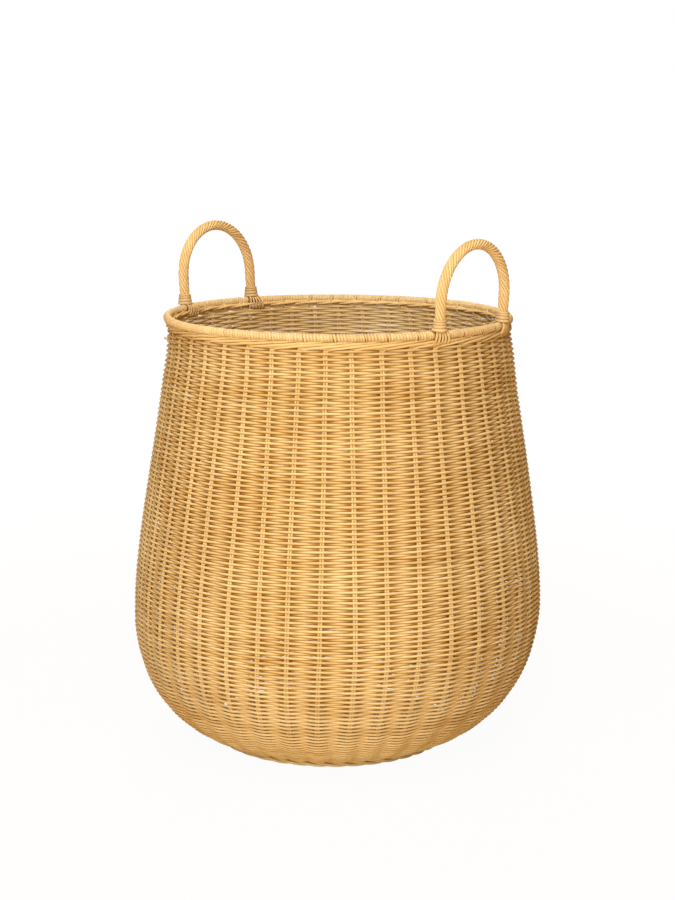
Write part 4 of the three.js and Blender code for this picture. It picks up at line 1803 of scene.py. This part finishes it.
@dataclass
class Base:
    """The woven disc that the basket stands on, with its crossed sticks.

    Attributes:
        outline: The wall round it.
        finishes: The material of each slot.
        rod_radius: A base weaver's radius.
        row_pitch: The distance from one round to the next.
        openings: The radii from which on the weave goes past more sticks, each with how many.
        steps: Points for each stick that the weaver passes.
        overlap: How far the weave reaches past its solid, up to the foot ring.
        spoke_ends: How far a spoke reaches in and out past the rounds that it is for.
        sticks: How many sticks lie in each bundle.
        stick_radius: A base stick's radius.
        stick_pitch: The distance between two sticks, in radii.
        stick_points: Points along a stick.
        tone: The middle and the spread of the sticks' tones.
        seed: The seed of the tones.
    """

    outline: Outline
    finishes: Materials
    rod_radius: float = 0.00135
    row_pitch: float = 0.00285
    openings: tuple[tuple[float, int], ...] = ((0.019, 8), (0.0295, 21), (0.062, 41))
    steps: int = 6
    overlap: float = 0.0042
    spoke_ends: tuple[float, float] = (0.004, 0.002)
    sticks: int = 8
    stick_radius: float = 0.0017
    stick_pitch: float = 2.12
    stick_points: int = 9
    tone: tuple[float, float] = (0.5, 0.15)
    seed: int = 83

    def build(self) -> None:
        """Lays the sticks and weaves the disc."""
        low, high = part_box("base_weave")
        middle = (low.z + high.z) / 2
        self._cross(middle)
        self._disc(middle, high)

    def _cross(self, middle: float) -> None:
        """Lays the two bundles of sticks, one over the other in the middle.

        Args:
            middle: The height that both come to further out.
        """
        random = np.random.default_rng(self.seed)
        low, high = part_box("base_sticks")
        half = (high.x - low.x) / 2
        along = np.linspace(-half, half, self.stick_points)
        ease = ramp(np.abs(along), 0.02, 0.05)
        rods = Rods("cross_sticks")
        for bundle in (0, 1):
            start = low.z + (1 + 2 * bundle) * self.stick_radius
            height = start + (middle - start) * ease
            for stick in range(self.sticks):
                offset = (stick - (self.sticks - 1) / 2) * self.stick_pitch * self.stick_radius
                across = np.full(self.stick_points, offset)
                flat = (along, across) if bundle else (across, along)
                line = self.outline.stood(np.stack([*flat, height], -1))
                rods.add(Rod(line, self.stick_radius, chance_tone(random, *self.tone)))
        show(rods.sweep(), rods.name, Slot.STAKE, ["base_sticks"], self.finishes)

    def _disc(self, middle: float, high: Vector) -> None:
        """Weaves the rounds, with the spokes that the opened bundles give.

        Args:
            middle: The height of the disc's middle.
            high: The upper corner of the disc's solid.
        """
        rods = Rods("base_rods")
        swing = high.z - middle - self.rod_radius
        ends = [inner for inner, _ in self.openings[1:]] + [high.x + self.overlap]
        for (inner, crossings), outer in zip(self.openings, ends):
            passed = round((outer - inner) / self.row_pitch) * crossings
            place = np.linspace(0, passed, passed * self.steps + 1)
            azimuth = FULL_TURN * place / crossings
            opened = inner > self.openings[0][0]
            wave = np.cos(math.pi * place)
            if not opened:
                wave = np.cos(2 * azimuth + math.pi * np.floor(place / crossings))
            radius = inner + (outer - inner) * place / passed
            line = round_axis(azimuth, radius, middle + swing * wave)
            rods.add(Rod(self.outline.stood(line), self.rod_radius))
            if opened:
                self._spokes(rods, crossings, inner, outer, middle)
        show(rods.sweep(), rods.name, Slot.WEAVE, ["base_weave"], self.finishes)

    def _spokes(self, rods: Rods, count: int, inner: float, outer: float, height: float) -> None:
        """Adds the spokes of one stretch of rounds.

        Args:
            rods: The piece that they belong to.
            count: How many spokes there are.
            inner: The radius where the rounds start.
            outer: The radius where they end.
            height: The spokes' height.
        """
        inward, outward = self.spoke_ends
        away = np.linspace(inner - inward, outer + outward, 4)
        for spoke in range(count):
            line = self.outline.stood(round_axis(FULL_TURN * spoke / count, away, height))
            rods.add(Rod(line, self.rod_radius))


# The studio


@dataclass
class Lamp:
    """A soft square lamp that faces a point.

    Attributes:
        name: The lamp's name.
        azimuth: Where it stands, in degrees about +Z from +X.
        height: Its height.
        away: Its distance from the basket's axis.
        size: The side of the lamp.
        power: Its power, in watts.
        colour: Its colour.
    """

    name: str
    azimuth: float
    height: float
    away: float
    size: float
    power: float
    colour: Colour

    def build(self, aim: Vector) -> None:
        """Hangs the lamp.

        Args:
            aim: The point that it faces.
        """
        light = bpy.data.lights.new(self.name, "AREA")
        light.shape = "SQUARE"
        light.size = self.size
        light.energy = self.power
        light.color = self.colour
        lamp = bpy.data.objects.new(self.name, light)
        lamp.location = round_axis(math.radians(self.azimuth), self.away, self.height)
        lamp.rotation_euler = (aim - lamp.location).to_track_quat("-Z", "Y").to_euler()
        bpy.context.scene.collection.objects.link(lamp)


@dataclass
class Studio:
    """The camera at the photograph's place, soft lamps, and a plain pale floor.

    Attributes:
        azimuth: How far the camera is turned about +Z from looking along +Y, in degrees.
        away: The camera's distance from the basket's axis.
        height: The camera's height.
        pitch: How far it looks down, in degrees.
        roll: How far it is tipped to its left, in degrees.
        focal_pixels: The focal length in pixels of the photograph.
        image_height: The photograph's height in pixels, its long side.
        floor_half: Half the side of the floor.
        floor_colour: The colour of the light that the floor throws back.
        floor_glow: How bright the floor is seen.
        shadow_share: How much of the lit floor, with its shadow, is seen near the basket.
        shadow_radius: The distance from the axis at which that share starts to fade.
        shadow_fade: How fast it fades, for each metre.
        ambient: The strength of the light from all round.
        ambient_colour: Its colour.
        aim_height: The height on the axis that the lamps face.
        lamps: The lamps.
    """

    azimuth: float = 40.0
    away: float = 2.2
    height: float = 0.763
    pitch: float = 10.82
    roll: float = 0.31
    focal_pixels: float = 1898.0
    image_height: float = 900.0
    floor_half: float = 30.0
    floor_colour: Colour = (0.62, 0.47, 0.30)
    floor_glow: float = 1.02
    shadow_share: float = 0.06
    shadow_radius: float = 0.6
    shadow_fade: float = 0.8
    ambient: float = 0.25
    ambient_colour: Colour = (1.0, 0.645, 0.33)
    aim_height: float = 0.27
    lamps: tuple[Lamp, ...] = (
        Lamp("key_lamp", -60.0, 2.6, 4.0, 1.1, 110.0, (0.85, 0.99, 1.25)),
        Lamp("top_lamp", -55.0, 2.8, 0.9, 1.6, 42.0, (1.0, 0.84, 0.60)),
        Lamp("fill_lamp", -47.0, 1.0, 3.0, 1.6, 23.0, (0.98, 0.89, 0.66)),
        Lamp("back_lamp", 130.0, 1.9, 3.4, 2.4, 75.0, (1.0, 0.86, 0.70)),
        Lamp("low_lamp", -66.0, 0.10, 1.5, 0.9, 9.0, (1.0, 0.82, 0.54)),
    )

    def build(self) -> None:
        """Sets the camera, the lamps, the floor and the world."""
        bpy.context.scene.view_settings.view_transform = "Standard"
        self._camera()
        for lamp in self.lamps:
            lamp.build(Vector((0.0, 0.0, self.aim_height)))
        self._floor()
        self._world()

    def _camera(self) -> None:
        """The camera, which shows what the photograph shows."""
        data = bpy.data.cameras.new("camera")
        data.sensor_width = 36.0
        data.lens = self.focal_pixels * data.sensor_width / self.image_height
        data.clip_end = 100.0
        camera = bpy.data.objects.new("camera", data)
        turn = math.radians(self.azimuth)
        place = Matrix.Translation((self.away * math.sin(turn), -self.away * math.cos(turn), self.height))
        look = Matrix.Rotation(turn, 4, "Z") @ Matrix.Rotation(math.radians(90 - self.pitch), 4, "X")
        camera.matrix_world = place @ look @ Matrix.Rotation(math.radians(self.roll), 4, "Z")
        bpy.context.scene.collection.objects.link(camera)
        bpy.context.scene.camera = camera

    def _floor(self) -> None:
        """A floor that throws warm light back, and is seen as white with a faint shadow."""
        work = bmesh.new()
        bmesh.ops.create_grid(work, x_segments=2, y_segments=2, size=self.floor_half)
        mesh = bpy.data.meshes.new("floor")
        work.to_mesh(mesh)
        work.free()
        made = bpy.data.materials.new("floor_white")
        made.use_nodes = True
        shader = Shader(made.node_tree)
        seen = shader.node("ShaderNodeLightPath", output="Is Camera Ray")
        matt = shader.node("ShaderNodeBsdfDiffuse", {}, {"Color": (*self.floor_colour, 1.0)})
        white = {"Color": (1.0, 1.0, 1.0, 1.0), "Strength": self.floor_glow}
        glow = shader.node("ShaderNodeEmission", {}, white)
        place = shader.node("ShaderNodeTexCoord", output="Object")
        away = shader.node("ShaderNodeVectorMath", {"operation": "LENGTH"}, {0: place}, 1)
        far = ((away - self.shadow_radius) * self.shadow_fade).at_least(0.0).at_most(1.0)
        share = seen * (far * self.shadow_share + (1 - self.shadow_share))
        both = shader.node("ShaderNodeMixShader", {}, {0: share, 1: matt, 2: glow})
        shader.node("ShaderNodeOutputMaterial", {}, {"Surface": both})
        mesh.materials.append(made)
        floor = bpy.data.objects.new("floor", mesh)
        bpy.context.scene.collection.objects.link(floor)

    def _world(self) -> None:
        """A plain sky that lights softly, and is seen as white."""
        world = bpy.data.worlds.new("studio_world")
        world.use_nodes = True
        bpy.context.scene.world = world
        shader = Shader(world.node_tree)
        kinds = ("Is Camera Ray", "Is Transmission Ray")
        straight, through = (shader.node("ShaderNodeLightPath", output=kind) for kind in kinds)
        seen = (straight + through).at_most(1.0)
        dim = {"Color": (*self.ambient_colour, 1.0), "Strength": self.ambient}
        soft = shader.node("ShaderNodeBackground", {}, dim)
        white = shader.node("ShaderNodeBackground", {}, {"Color": (1.0, 1.0, 1.0, 1.0), "Strength": 1.0})
        both = shader.node("ShaderNodeMixShader", {}, {0: seen, 1: soft, 2: white})
        shader.node("ShaderNodeOutputWorld", {}, {"Surface": both})


def main() -> None:
    """Builds the basket from the ground up, then the studio."""
    logging.basicConfig(level=logging.INFO, format="%(name)s: %(message)s")
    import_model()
    finishes = Finishes().materials()
    outline = Outline()
    Base(outline, finishes).build()
    Foot(outline, finishes).build()
    Stakes(outline, finishes).build()
    SideWeave(outline, finishes).build()
    Border(outline, finishes).build()
    rim = Rim(outline, finishes)
    rim.build()
    for hand in Hand:
        Handle(hand, rim, finishes).build()
    Studio().build()


if __name__ == "__main__":
    main()
